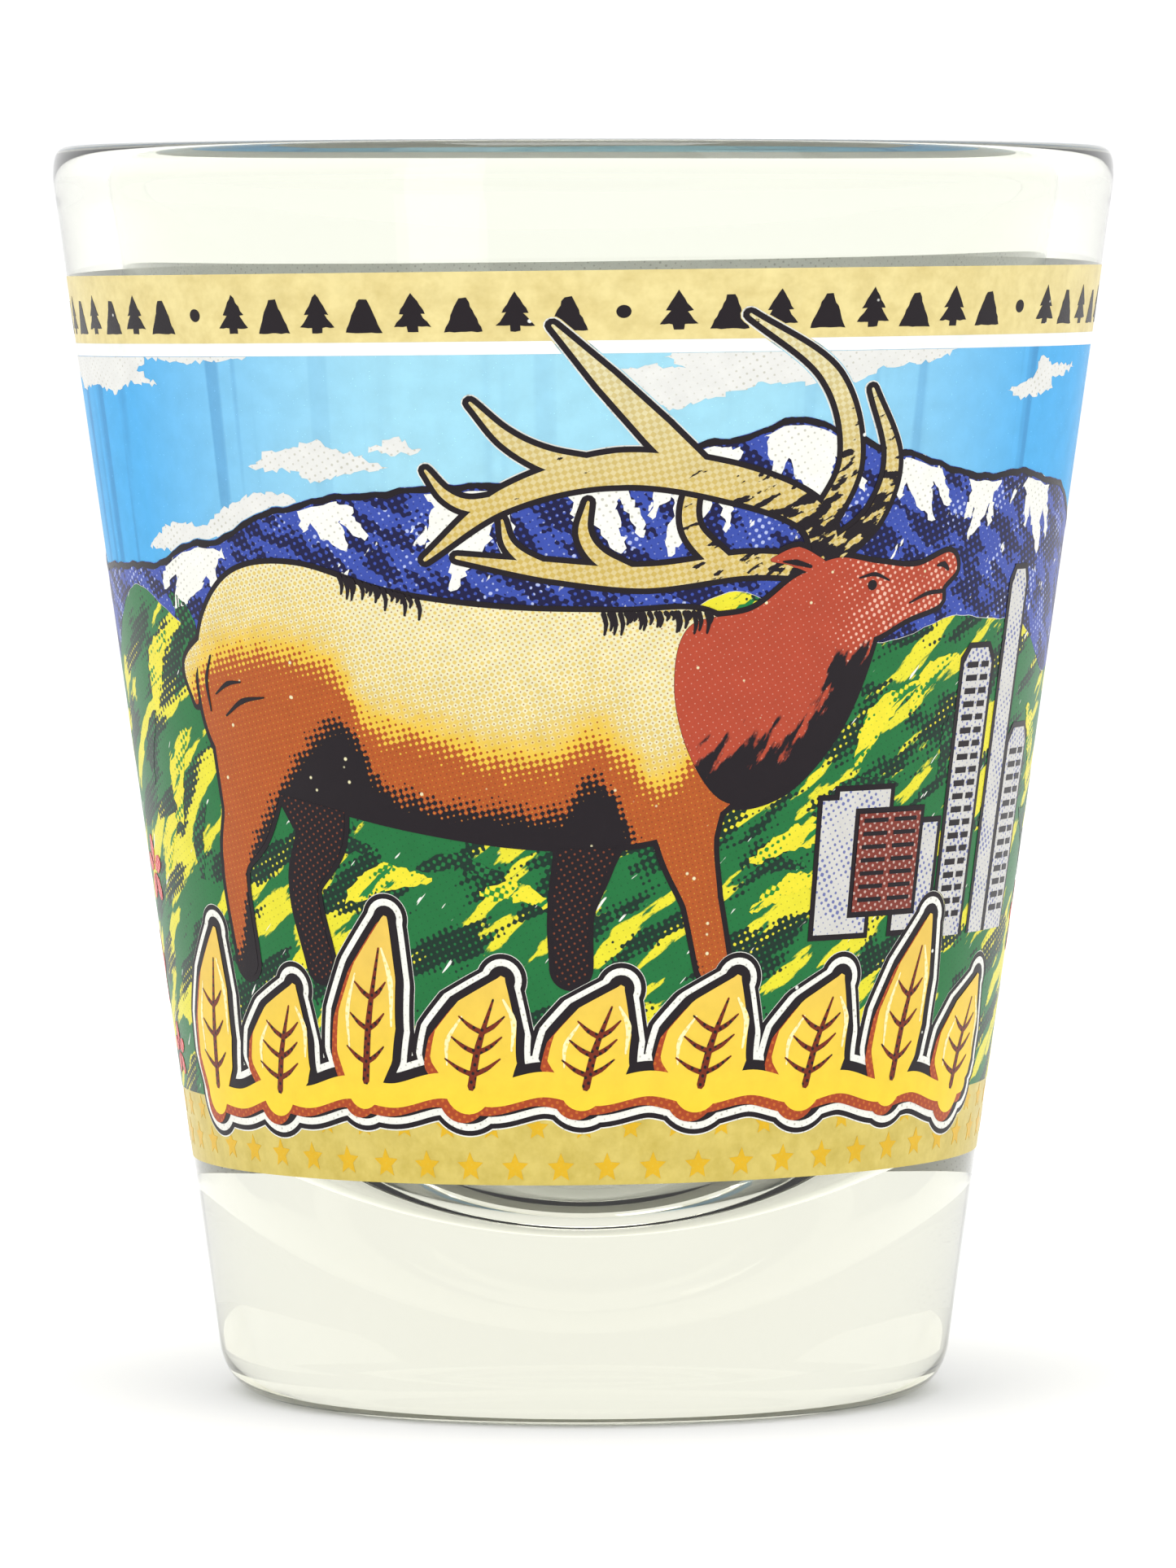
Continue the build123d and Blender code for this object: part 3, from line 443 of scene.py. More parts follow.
def ink_piece(name, level, shapes, cuts, material, nodes, more=()):
    """A thin closed film of ink on the wall, over the shapes less the cuts, in place of the nodes.

    Shapes that must not be joined to the first ones come in more, each with its own cuts.
    """
    points, faces, rim_edges = [], [], set()
    inner = {BACKING: BACKING_INNER, 0: INTO_GLASS}.get(level, level * INK_PITCH + (INK_PITCH - INK_FILM))
    outer = BACKING_OUTER if level == BACKING else (level + 1) * INK_PITCH
    for area in ((shapes, cuts), *more):
        places, triangles = fill(*area)
        used = sorted({v for t in triangles for v in t})
        index = {v: len(points) + k for k, v in enumerate(used)}
        shift = len(used)
        points += [on_wall(*places[v], outer) for v in used] + [on_wall(*places[v], inner) for v in used]
        sides = set()
        for a, b, c in triangles:
            a, b, c = index[a], index[b], index[c]
            faces += [(a, b, c), (c + shift, b + shift, a + shift)]
            sides |= {(a, b), (b, c), (c, a)}
        rim = [(a, b) for a, b in sides if (b, a) not in sides]
        faces += [(a, a + shift, b + shift, b) for a, b in sorted(rim)]
        rim_edges |= {frozenset(e) for e in rim} | {frozenset((a + shift, b + shift)) for a, b in rim}
    mesh = bpy.data.meshes.new(name)
    mesh.from_pydata(points, [], faces)
    for edge in mesh.edges:
        edge.use_edge_sharp = frozenset(edge.vertices) in rim_edges
    for face in mesh.polygons:
        face.use_smooth = True
    mesh.materials.append(material)
    piece = bpy.data.objects.new(f"{name}_print", mesh)
    bpy.context.scene.collection.objects.link(piece)
    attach(piece, "root")
    nodes = (nodes,) if isinstance(nodes, str) else nodes
    if nodes:
        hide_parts(*nodes)


# ---- the glass body ----

def hermite(a, b, start, end, steps):
    """Points from a to b that leave along start and arrive along end."""
    points = []
    for k in range(steps):
        t = k / steps
        h = (2 * t ** 3 - 3 * t * t + 1, t ** 3 - 2 * t * t + t, -2 * t ** 3 + 3 * t * t, t ** 3 - t * t)
        points.append(tuple(h[0] * a[i] + h[1] * start[i] + h[2] * b[i] + h[3] * end[i] for i in range(2)))
    return points


def glass_profile():
    """Radius and height from the middle of the base, up the outside, over the lip and down inside."""
    ring = FOOT_RING_RADIUS - FOOT_RING_WIDTH
    foot = (cone_radius(FOOT_EDGE_HEIGHT), FOOT_EDGE_HEIGHT)
    bead = (cone_radius(BEAD_HEIGHT), BEAD_HEIGHT)
    widest = (RIM_RADIUS, LIP_BULGE_HEIGHT)
    crest = (LIP_CREST_RADIUS, HEIGHT)
    inner_lip = (inside_radius(BEAD_HEIGHT), BEAD_HEIGHT)
    bowl_edge = (inside_radius(INSIDE_WALL_START), INSIDE_WALL_START)
    slope = inside_radius(HEIGHT) - inside_radius(HEIGHT - 1)
    profile = hermite((0, PUNT_HEIGHT), (ring, 0), (ring, 0), (3.0, -0.6), 24)
    profile += hermite((ring, 0), (FOOT_RING_RADIUS, 0), (2, 0), (2, 0), 4)
    profile += hermite((FOOT_RING_RADIUS, 0), foot, (4.0, 0), (3.2 * CONE_SLOPE, 3.2), 18)
    profile += [(cone_radius(z), z) for z in
                (FOOT_EDGE_HEIGHT + (BEAD_HEIGHT - FOOT_EDGE_HEIGHT) * k / WALL_RINGS for k in range(WALL_RINGS))]
    profile += hermite(bead, widest, (CONE_SLOPE, 1.0), (0, 1.0), 6)
    profile += hermite(widest, crest, (0, 4.4), (-3.9, 0), 24)
    profile += hermite(crest, inner_lip, (-3.6, 0), (-8.5 * slope, -8.5), 28)
    profile += [(inside_radius(z), z) for z in
                (BEAD_HEIGHT + (INSIDE_WALL_START - BEAD_HEIGHT) * k / WALL_RINGS for k in range(WALL_RINGS))]
    profile += hermite(bowl_edge, (0, INSIDE_FLOOR_HEIGHT), (-14 * slope, -14.0), (-24.0, 0), 40)
    profile.append((0, INSIDE_FLOOR_HEIGHT))
    return profile


def revolve(name, profile, material):
    """A smooth closed mesh of revolution; the profile's ends lie on the axis."""
    rings = profile[1:-1]
    points = [(0, 0, profile[0][1] * MM), (0, 0, profile[-1][1] * MM)]
    for radius, z in rings:
        for k in range(TURNS):
            angle = 2 * pi * k / TURNS
            points.append((radius * cos(angle) * MM, radius * sin(angle) * MM, z * MM))

    def at(ring, k):
        return 2 + ring * TURNS + k % TURNS

    faces = [(0, at(0, k + 1), at(0, k)) for k in range(TURNS)]
    last = len(rings) - 1
    faces += [(1, at(last, k), at(last, k + 1)) for k in range(TURNS)]
    for ring in range(last):
        for k in range(TURNS):
            faces.append((at(ring, k), at(ring, k + 1), at(ring + 1, k + 1), at(ring + 1, k)))
    mesh = bpy.data.meshes.new(name)
    mesh.from_pydata(points, [], faces)
    for face in mesh.polygons:
        face.use_smooth = True
    mesh.materials.append(material)
    piece = bpy.data.objects.new(name, mesh)
    bpy.context.scene.collection.objects.link(piece)
    return piece


def glass_material():
    """Clear pressed soda-lime glass with a faint warm green cast and slight ripples."""
    g = Graph("clear_pressed_glass")
    place = g.node("ShaderNodeTexCoord", {}).outputs["Object"]
    ripple = g.noise(place, 90.0, 1.0)
    bump = g.node("ShaderNodeBump", {"Strength": 0.05, "Distance": 0.0004, "Height": ripple})
    g.put(g.shader.inputs["Normal"], bump.outputs[0])
    g.shader.inputs["Base Color"].default_value = (0.94, 0.95, 0.895, 1.0)
    g.shader.inputs["Roughness"].default_value = 0.0
    g.shader.inputs["IOR"].default_value = 1.52
    g.shader.inputs["Transmission Weight"].default_value = 1.0
    depth = g.node("ShaderNodeVolumeAbsorption", {"Color": (0.82, 0.805, 0.685), "Density": 20.0})
    g.put(g.tree.nodes["Material Output"].inputs["Volume"], depth.outputs[0])
    return g.material


def make_glass():
    glass = revolve("glass", glass_profile(), glass_material())
    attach(glass, "root")
    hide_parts("glass_body")


# ---- the landscape ----

RIDGE = profile_line([
    (-60, 44.6), (-52, 46.3), (-44, 43.6), (-37, 40.9), (-29.3, 40.3), (-22.6, 40.6), (-18.3, 41.7),
    (-13.7, 43.2), (-9.7, 44.0), (-4, 44.3), (1.4, 45.1), (5.9, 46.3), (8.9, 47.1), (11.5, 46.6),
    (13.8, 45.6), (18.8, 44.4), (21.5, 44.5), (27, 43.9), (33, 41.6), (41, 44.2), (48, 46.0),
    (55, 43.2), (62, 41.6),
], ripple=0.08)
HILL_TOP = profile_line([
    (-62, 36.6), (-50, 33.6), (-40, 36.4), (-32, 35.6), (-25.0, 39.4), (-19, 37.0), (-8, 34.5), (2.0, 36.8),
    (6.6, 39.2), (10.5, 37.6), (14, 36.6), (19, 37.7), (23.5, 37.3), (30, 34.6), (42, 37.6), (54, 34.4),
], ripple=0.05)
CLOUDS = (
    [(-33.0, 51.0), (-31.5, 49.4), (-29.6, 48.6), (-26.5, 48.9), (-24.7, 48.4), (-22.8, 49.0), (-20.6, 48.9),
     (-22.0, 49.6), (-21.2, 50.1), (-17.4, 49.9), (-14.6, 50.2), (-12.8, 51.0)],
    [(-15.1, 45.0), (-12.6, 44.9), (-11.9, 44.4), (-9.9, 44.8), (-8.3, 45.0), (-9.5, 45.6), (-10.6, 45.8),
     (-11.6, 46.3), (-13.1, 45.9), (-14.3, 45.7)],
    [(-9.2, 45.9), (-7.9, 45.6), (-6.7, 45.8), (-7.8, 46.4)],
    [(-23.2, 41.3), (-20.0, 41.0), (-12.6, 43.2), (-13.3, 43.9), (-14.9, 43.9), (-17.1, 43.1), (-18.4, 42.3),
     (-20.6, 42.5)],
    [(0.9, 48.3), (2.3, 47.9), (3.6, 47.6), (5.5, 48.2), (7.4, 48.8), (9.8, 48.6), (11.6, 48.8), (12.7, 49.3),
     (15.1, 49.6), (17.2, 50.2), (17.4, 51.0), (4.2, 51.0), (3.2, 50.0), (4.1, 49.4), (2.4, 49.7),
     (1.1, 49.2)],
    [(20.4, 48.1), (21.5, 47.8), (24.8, 48.1), (24.4, 48.7), (28.3, 49.3), (24.3, 49.3), (23.0, 49.8),
     (22.5, 48.7)],
    [(33.5, 48.0), (36.0, 47.3), (39.5, 47.6), (43.5, 47.9), (41.0, 48.7), (38.5, 49.2), (36.0, 48.7)],
    [(-44.5, 47.4), (-41.0, 46.8), (-37.0, 47.1), (-34.0, 47.4), (-37.0, 48.3), (-40.0, 48.8), (-42.0, 48.1)],
    [(-60.5, 49.0), (-57.0, 48.4), (-52.5, 48.9), (-49.5, 49.1), (-53.0, 49.9), (-57.5, 49.8)],
    [(52.5, 47.6), (55.0, 47.0), (59.5, 47.3), (63.0, 47.5), (60.5, 48.4), (57.0, 48.9), (54.5, 48.3)],
)
SNOW = (
    (-19.6, 4.2, 2.6, -1.2), (-11.5, 2.8, 1.8, 0.8), (-4.6, 3.6, 4.4, -0.8), (0.6, 2.6, 3.6, 0.8),
    (4.8, 3.4, 4.6, -0.9), (9.6, 4.0, 3.8, 0.9), (15.2, 2.8, 2.6, 0.8), (19.6, 1.8, 2.6, -0.6),
    (24.4, 2.6, 3.2, 0.7), (-58, 4.0, 4.2, 1.0), (-50.5, 4.4, 5.0, -1.0), (-43, 3.0, 3.4, 0.8),
    (40.0, 3.4, 3.8, -0.9), (46.8, 4.6, 5.2, 1.0), (53, 3.0, 3.4, -0.8), (-34.0, 3.0, 2.4, -0.7),
    (62.0, 3.4, 2.6, 0.8),
)
MEADOWS = (
    (-23.6, 35.4, 4.2, 1.6, 62), (-22.6, 30.4, 4.6, 1.5, 70), (-24.8, 27.2, 3.4, 1.2, 50),
    (-9.6, 25.4, 4.4, 1.3, 12), (-3.2, 25.0, 3.0, 1.0, -10), (6.8, 37.6, 3.2, 1.2, 35),
    (10.6, 27.0, 5.2, 1.2, 8), (14.8, 32.8, 4.8, 1.3, 48), (17.6, 34.6, 3.8, 1.1, 40),
    (10.4, 24.9, 4.6, 0.9, 14), (28.4, 31.0, 4.6, 1.3, -58), (34.0, 28.6, 6.0, 1.6, 30),
    (41.0, 33.0, 6.4, 1.7, 24), (47.5, 27.0, 7.0, 1.8, -18), (55.5, 31.0, 6.0, 1.6, 28),
    (62.5, 25.5, 6.0, 1.7, -14), (-60.5, 31.5, 6.6, 1.8, 22), (-52.0, 27.0, 6.4, 1.7, -20),
    (-44.0, 31.5, 6.0, 1.6, 26), (-36.5, 26.5, 6.0, 1.6, -18), (-32.0, 31.6, 4.0, 1.2, 48),
)
SHADED_SLOPES = (
    (-20.9, 37.6, 3.2, 1.2, -64), (-25.8, 31.6, 3.6, 1.1, 66), (-21.4, 27.4, 3.4, 1.0, 74),
    (-12.0, 27.0, 3.6, 0.9, 10), (-6.0, 26.3, 3.8, 0.8, -6), (11.6, 33.4, 4.2, 1.0, 52),
    (19.8, 32.2, 4.4, 1.2, 60), (13.4, 29.3, 4.6, 0.9, 14), (9.2, 26.0, 3.0, 0.6, 10),
    (30.6, 26.4, 5.0, 1.4, -40), (37.5, 34.0, 5.2, 1.2, 36), (44.2, 30.2, 6.2, 1.3, -24),
    (51.5, 30.6, 5.6, 1.3, 30), (59.0, 27.6, 6.0, 1.3, -22), (66.0, 31.6, 5.0, 1.2, 26),
    (-56.5, 29.0, 5.8, 1.3, -24), (-48.0, 30.0, 5.0, 1.2, 30), (-40.0, 28.5, 5.8, 1.3, -26),
)
PINES = (
    (-63.5, 20.5, 12.0), (-58.0, 18.6, 9.6), (-53.2, 20.0, 13.0), (-48.0, 18.8, 10.0), (-43.2, 20.2, 12.4),
    (38.4, 20.0, 11.2), (43.4, 18.8, 13.6), (48.8, 20.2, 10.4), (53.8, 19.0, 12.6), (58.8, 20.4, 9.8),
    (64.0, 18.8, 11.6),
)
BLOSSOMS = (
    (-29.2, 25.6, 1.5), (-32.6, 20.6, 1.7), (-36.4, 24.2, 1.6), (32.6, 22.6, 1.6), (34.8, 18.0, 1.3),
    (-29.4, 16.9, 1.2),
)


# half of a fir, as shares of its half width and height
PINE_SIDE = (
    (0.10, 0.0), (0.10, 0.14), (1.0, 0.14), (0.42, 0.42), (0.80, 0.40), (0.32, 0.66), (0.55, 0.64),
    (0.0, 1.0),
)


def rough(outline, reach, seed):
    """The outline with long sides divided and every point nudged at random, like a hand-cut edge."""
    rng = random.Random(seed)
    points = []
    for a, b in zip(outline, outline[1:] + outline[:1]):
        steps = max(1, round(((b[0] - a[0]) ** 2 + (b[1] - a[1]) ** 2) ** 0.5 / OUTLINE_STEP))
        for k in range(steps):
            share = k / steps
            points.append((a[0] + (b[0] - a[0]) * share + reach * rng.uniform(-1, 1),
                           a[1] + (b[1] - a[1]) * share + reach * rng.uniform(-1, 1)))
    return points


def snow_patch(s, z, width, height, lean):
    """A field of snow hanging from the ridge, in ragged tongues."""
    half = width * 0.30
    edge = width * 0.5
    top, lower = z - 0.1, z - 0.3
    tongues = (
        ([(s - edge, top), (s, z - height * 0.16), (s + edge, top)], (0.25, half * 0.55, 0.25)),
        ([(s, top), (s + lean * 0.3, z - height * 0.5), (s + lean * 1.3, z - height)],
         (half, half * 0.8, 0.18)),
        ([(s - half, lower), (s - width * 0.45 + lean * 0.4, z - height * 0.62)], (half * 0.6, 0.16)),
        ([(s + half, lower), (s + width * 0.55 + lean * 0.6, z - height * 0.78)], (half * 0.5, 0.16)),
    )
    return [rough(stroke(path, widths), 0.13, int(s * 7) + k) for k, (path, widths) in enumerate(tongues)]


def leaf(s, z, length, width, tilt, grow=0.0):
    """A pointed, slightly bent patch."""
    run, rise = length * cos(radians(tilt)), length * sin(radians(tilt))
    bend = 0.14 * length
    middle = (s - bend * sin(radians(tilt)), z + bend * cos(radians(tilt)))
    return stroke([(s - run / 2, z - rise / 2), middle, (s + run / 2, z + rise / 2)],
                  (0.18, width * 0.40, width * 0.50, width * 0.34, 0.18), grow)


def ragged_leaf(place):
    return rough(leaf(*place), 0.12, int(place[0] * 13))


def pine(s, z, height):
    """A fir tree of three tiers on a short trunk."""
    wide = height * 0.24
    right = [(s + across * wide, z + up * height) for across, up in PINE_SIDE]
    left = [(2 * s - a, b) for a, b in reversed(right[:-1])]
    return rough(right + left, 0.10, int(s))


def petals(s, z, size):
    """The five petals of a flower."""
    shapes = []
    for k in range(5):
        a = 2 * pi * k / 5 + 0.3
        path = [(s + reach * size * cos(a), z + reach * size * sin(a)) for reach in (0.25, 0.6, 0.9)]
        shapes.append(stroke(path, (0.10 * size, 0.30 * size, 0.24 * size)))
    return shapes


# ---- the skyline ----

TOWERS = ((20.7, 22.5, 2.3, 13.6), (26.2, 22.5, 2.6, 9.6), (23.7, 22.5, 1.5, 17.2))
BLOCKS = ((13.0, 23.0, 3.0, 6.3), (17.6, 23.0, 2.6, 5.0), (13.9, 28.6, 3.0, 1.1))
BRICK_BLOCK = (15.6, 24.0, 3.9, 4.6)
STOREY = 0.62
BRICK_STOREYS = 7
CROWN = 0.7  # how far a tower's top slopes down at its sides


def upright(s, z, width, height, grow=0.0):
    """A plain building front."""
    half = width / 2 + grow
    low, high = z - grow, z + height + grow
    return [(s - half, low), (s + half, low), (s + half, high), (s - half, high)]


def capped(s, z, width, height, grow=0.0):
    """A tower front with a stepped, sloping crown."""
    half = width / 2 + grow
    top = z + height + grow
    shoulder = top - CROWN
    return [(s - half, z), (s + half, z), (s + half, shoulder), (s + half * 0.6, top),
            (s - half * 0.6, top), (s - half, shoulder)]


def tower_windows():
    """A wide and a narrow window on every storey of the two windowed towers."""
    bars = []
    tall = 0.28
    for s, z, width, height in TOWERS[:2]:
        for k in range(round(height / STOREY) - 2):
            level = z + 0.9 + k * STOREY
            bars.append(upright(s - width * 0.19, level, width * 0.38, tall))
            bars.append(upright(s + width * 0.25, level, width * 0.28, tall))
    return bars


def brick_windows():
    """Two long windows on every storey of the brick block."""
    s, z, width, _ = BRICK_BLOCK
    bars = []
    for k in range(BRICK_STOREYS):
        for side in (-1, 1):
            bars.append(upright(s + side * width * 0.24, z + 0.45 + k * STOREY, width * 0.38, 0.2))
    return bars


# ---- the elk ----

TRUNK = [
    (5.4, 38.2), (1.5, 38.3), (-3.5, 38.5), (-8.5, 39.2), (-13.0, 40.5), (-16.6, 40.2), (-19.0, 38.2),
    (-20.0, 35.4), (-19.6, 32.4), (-17.6, 30.4), (-13.6, 29.6), (-8.0, 28.4), (-2.5, 27.6), (2.5, 27.6),
    (6.4, 29.0), (8.2, 32.0), (8.0, 35.8),
]
NECK = [
    (4.6, 37.6), (7.4, 38.3), (9.6, 39.9), (12.0, 40.2), (13.6, 38.4), (13.2, 35.6), (11.8, 32.4),
    (9.4, 29.9), (6.6, 29.4), (4.8, 31.6), (4.0, 34.8),
]
HEAD = [
    (9.7, 39.6), (11.2, 40.6), (13.4, 40.3), (15.6, 40.1), (17.6, 40.7), (18.2, 39.9), (17.4, 39.1),
    (17.3, 38.3), (15.4, 37.7), (13.2, 36.8), (11.2, 37.4),
]
EAR = ([(10.4, 40.2), (9.3, 40.7), (8.2, 40.6)], (0.42, 0.48, 0.10))
LEGS = (
    ([(-16.8, 32.5), (-17.6, 28.8), (-18.9, 26.2), (-18.7, 21.8)], (2.6, 1.7, 0.85, 0.75)),
    ([(-13.6, 31.0), (-13.0, 28.0), (-14.2, 25.4), (-13.6, 21.8)], (2.0, 1.3, 0.75, 0.70)),
    ([(4.6, 31.0), (4.8, 27.6), (5.6, 24.8), (6.3, 21.8)], (2.2, 1.3, 0.80, 0.75)),
    ([(0.6, 29.6), (0.0, 26.8), (-0.6, 24.4), (-0.6, 21.8)], (1.8, 1.2, 0.85, 0.80)),
)
TAIL = ([(-19.2, 36.8), (-20.6, 35.6), (-20.4, 34.0)], (0.35, 0.50, 0.15))
NEAR_ANTLER = (
    ([(10.9, 40.2), (9.9, 42.6), (6.2, 44.2), (1.4, 44.9), (-3.2, 43.6), (-6.8, 40.8)],
     (0.62, 0.66, 0.78, 0.74, 0.46, 0.08)),
    ([(11.0, 40.8), (13.0, 42.6), (13.7, 45.2), (12.4, 48.4)], (0.50, 0.40, 0.32, 0.06)),
    ([(10.3, 42.0), (11.6, 45.2), (10.4, 49.0), (6.7, 51.9)], (0.52, 0.44, 0.34, 0.06)),
    ([(5.0, 44.4), (3.0, 46.6), (0.9, 49.0), (-1.2, 51.5)], (0.62, 0.58, 0.40, 0.06)),
    ([(0.4, 44.8), (-1.6, 45.4), (-3.2, 46.4), (-4.6, 48.0)], (0.55, 0.42, 0.28, 0.06)),
    ([(-3.4, 43.4), (-4.8, 43.3), (-5.8, 43.8), (-6.6, 44.9)], (0.36, 0.28, 0.20, 0.06)),
)
FAR_ANTLER = (
    ([(10.2, 40.2), (7.0, 40.4), (2.6, 39.9), (-1.6, 40.3), (-5.4, 40.9)], (0.44, 0.50, 0.50, 0.38, 0.08)),
    ([(6.0, 40.4), (4.6, 42.0), (4.5, 43.6), (5.2, 45.0)], (0.44, 0.34, 0.26, 0.08)),
    ([(2.0, 40.0), (0.6, 40.9), (0.0, 42.0), (0.2, 43.4)], (0.36, 0.30, 0.22, 0.06)),
    ([(-1.6, 40.3), (-2.6, 40.9), (-3.2, 41.6), (-3.4, 42.6)], (0.30, 0.24, 0.16, 0.05)),
)


def strokes(parts, grow=0.0):
    return [stroke(path, widths, grow) for path, widths in parts]


def elk_shapes(grow):
    """The whole animal as overlapping parts, grown for its outline."""
    shapes = [smooth_loop(outline, grow) for outline in (TRUNK, NECK, HEAD)]
    return shapes + strokes((EAR, TAIL, *LEGS, *NEAR_ANTLER, *FAR_ANTLER), grow)


def front_parts(grow):
    """Neck, head and ear."""
    return [smooth_loop(NECK, grow), smooth_loop(HEAD, grow), stroke(*EAR, grow)]


def hair_marks():
    """Short dark hairs just inside the line of the back, at the loin and over the shoulder."""
    rng = random.Random(5)
    marks = []
    for start, end, count in ((-11.0, -7.2, 16), (0.8, 5.6, 22)):
        for k in range(count):
            s = start + (end - start) * (k + rng.uniform(0, 0.8)) / count
            top = 39.55 - 0.30 * (s + 9.3) if s < 0 else 38.25
            length = rng.uniform(0.3, 1.0)
            hair = [(s, top), (s + 0.12, top - length / 2), (s + 0.05, top - length)]
            marks.append(stroke(hair, (0.12, 0.10, 0.05)))
    return marks


def elk_marks():
    """Eye, nostril, mouth, the hollow of the ear, the creases of the flank and hairs on the back."""
    return hair_marks() + [
        disc(13.2, 39.3, 0.24),
        stroke([(12.5, 39.65), (13.3, 39.8), (14.1, 39.5)], (0.04, 0.10, 0.04)),
        stroke([(16.9, 40.1), (17.3, 40.15), (17.6, 39.9)], (0.06, 0.15, 0.08)),
        stroke([(17.5, 38.9), (16.4, 38.8), (15.4, 38.4)], (0.10, 0.10, 0.04)),
        stroke([(10.0, 40.25), (9.3, 40.45), (8.7, 40.5)], (0.08, 0.14, 0.04)),
        stroke([(-18.9, 36.2), (-19.4, 35.0), (-19.3, 33.6)], (0.05, 0.11, 0.05)),
        stroke([(-18.2, 33.4), (-17.0, 34.1), (-15.6, 34.3)], (0.05, 0.13, 0.04)),
        stroke([(-18.8, 34.4), (-17.9, 34.9), (-17.0, 35.0)], (0.04, 0.12, 0.04)),
    ]


# ---- the ornament ----

LEAVES = (
    (-22.7, 8.5, 1.85), (-16.9, 5.6, 2.15), (-11.1, 8.7, 1.65), (-5.3, 5.7, 2.2), (0.5, 5.2, 2.0),
    (6.3, 5.6, 2.2), (12.1, 5.6, 2.15), (17.9, 8.5, 1.75), (23.6, 5.7, 2.2),
)
VEINS = (0.22, 0.40, 0.57)  # where side veins leave the rib, up a leaf
LEAF_SHAPE = (0.55, 0.98, 1.0, 0.72, 0.10)  # half widths up a leaf, against its widest
RIM_GROW, WHITE_GROW, OUTLINE_GROW = 1.02, 0.78, 0.46
DROP = (-0.30, -0.36)
STEM_KNOTS = 19


def garland_base(s):
    """The ornament's lower line sags towards its ends."""
    return 15.6 - 0.0019 * s * s


def garland(grow, shift=(0.0, 0.0)):
    """A row of plump leaves leaning right on a wavy stem."""
    dx, dz = shift
    start, end = LEAVES[0][0] - 0.6, LEAVES[-1][0] + 1.0
    stem = []
    for k in range(STEM_KNOTS):
        s = start + (end - start) * k / (STEM_KNOTS - 1)
        stem.append((s + dx, garland_base(s) + 0.55 + dz + 0.22 * (-1) ** k))
    shapes = [stroke(stem, (0.45, 0.60, 0.60, 0.45), grow)]
    for s, tall, half in LEAVES:
        z = garland_base(s)
        foot = (s + dx - 0.6, z + dz + 0.6)
        belly = (s + dx - 0.1, z + dz + tall * 0.45)
        tip = (s + dx + 1.3, z + dz + tall)
        shapes.append(stroke([foot, belly, tip], [half * share for share in LEAF_SHAPE], grow))
    return shapes


def leaf_rib(s, tall, share):
    """A point on a leaf's middle rib, at a share of its height."""
    return s - 0.5 + share * (0.7 + 1.1 * share), garland_base(s) + tall * share


def leaf_veins():
    """A dark middle rib up each leaf, with side veins leaning out and up from it."""
    veins = []
    for s, tall, half in LEAVES:
        veins.append(stroke([leaf_rib(s, tall, share) for share in (0.12, 0.45, 0.84)], (0.20, 0.17, 0.05)))
        for share in VEINS:
            a, z = leaf_rib(s, tall, share)
            reach = half * (0.72 - 0.35 * share)
            for side in (-1, 1):
                tip = (a + side * reach, z + 0.75)
                veins.append(stroke([(a, z), (a + side * reach * 0.5, z + 0.28), tip], (0.13, 0.11, 0.04)))
    return veins


def leaf_shines():
    """Pale highlights inside the upper right and the left edge of each leaf."""
    shines = []
    for s, tall, half in LEAVES:
        z = garland_base(s)
        right = [(s + half * 0.62, z + tall * 0.84), (s + half * 0.84, z + tall * 0.66),
                 (s + half * 0.78, z + tall * 0.42)]
        left = [(s - half * 0.74, z + tall * 0.30), (s - half * 0.70, z + tall * 0.50),
                (s - half * 0.34, z + tall * 0.70)]
        shines += [stroke(right, (0.05, 0.15, 0.05)), stroke(left, (0.04, 0.12, 0.04))]
    return shines


# ---- the bands ----

MOTIF_BLOCKS = 7
MOTIFS_PER_BLOCK = 8
STARS_PER_ROW = 56
LOWER_STARS = (12.65, 0.72)  # height and size
UPPER_STARS = (14.30, 0.60)
BAND_DOT = 0.30
MOTIF_LOW, MOTIF_HIGH = 51.25, 52.95
PEAK = ((0.80, MOTIF_LOW), (0.16, MOTIF_HIGH - 0.15))
FIR = (
    (0.22, MOTIF_LOW), (0.22, MOTIF_LOW + 0.25), (0.78, MOTIF_LOW + 0.25), (0.34, MOTIF_LOW + 0.85),
    (0.56, MOTIF_LOW + 0.85), (0.0, MOTIF_HIGH + 0.12),
)


def band_motifs():
    """Seven groups of little trees and peaks round the upper band, with a dot between groups."""
    turn = 2 * HALF_TURN
    block = turn / MOTIF_BLOCKS
    pitch = block * 0.77 / (MOTIFS_PER_BLOCK - 1)
    shapes = []
    for b in range(MOTIF_BLOCKS):
        dot = 1.6 + (b - MOTIF_BLOCKS // 2) * block
        shapes.append(disc(dot, (MOTIF_LOW + MOTIF_HIGH) / 2, BAND_DOT))
        for k in range(MOTIFS_PER_BLOCK):
            s = dot + block * 0.115 + k * pitch
            s = s - turn if s > HALF_TURN else s
            half = PEAK if k % 2 else FIR
            right = [(s + across, z) for across, z in half]
            left = [(s - across, z) for across, z in reversed(half) if across]
            shapes.append(rough(right + left, 0.03, int(s * 3)))
    return shapes


def star(s, z, size):
    """A five-pointed star."""
    points = []
    for k in range(10):
        reach = size if k % 2 == 0 else size * 0.46
        angle = pi / 2 + k * pi / 5
        points.append((s + reach * cos(angle), z + reach * sin(angle)))
    return points


def star_rows():
    """Rows of ochre stars along the lower band, the upper one half behind the ornament."""
    pitch = 2 * HALF_TURN / STARS_PER_ROW
    stars = []
    for k in range(STARS_PER_ROW):
        s = -HALF_TURN + (k + 0.5) * pitch
        stars.append(star(s, LOWER_STARS[0] - 0.25 * cos(s / ART_RADIUS * 2), LOWER_STARS[1]))
        stars.append(star(s + pitch / 2, *UPPER_STARS))
    return stars


# ---- inks ----

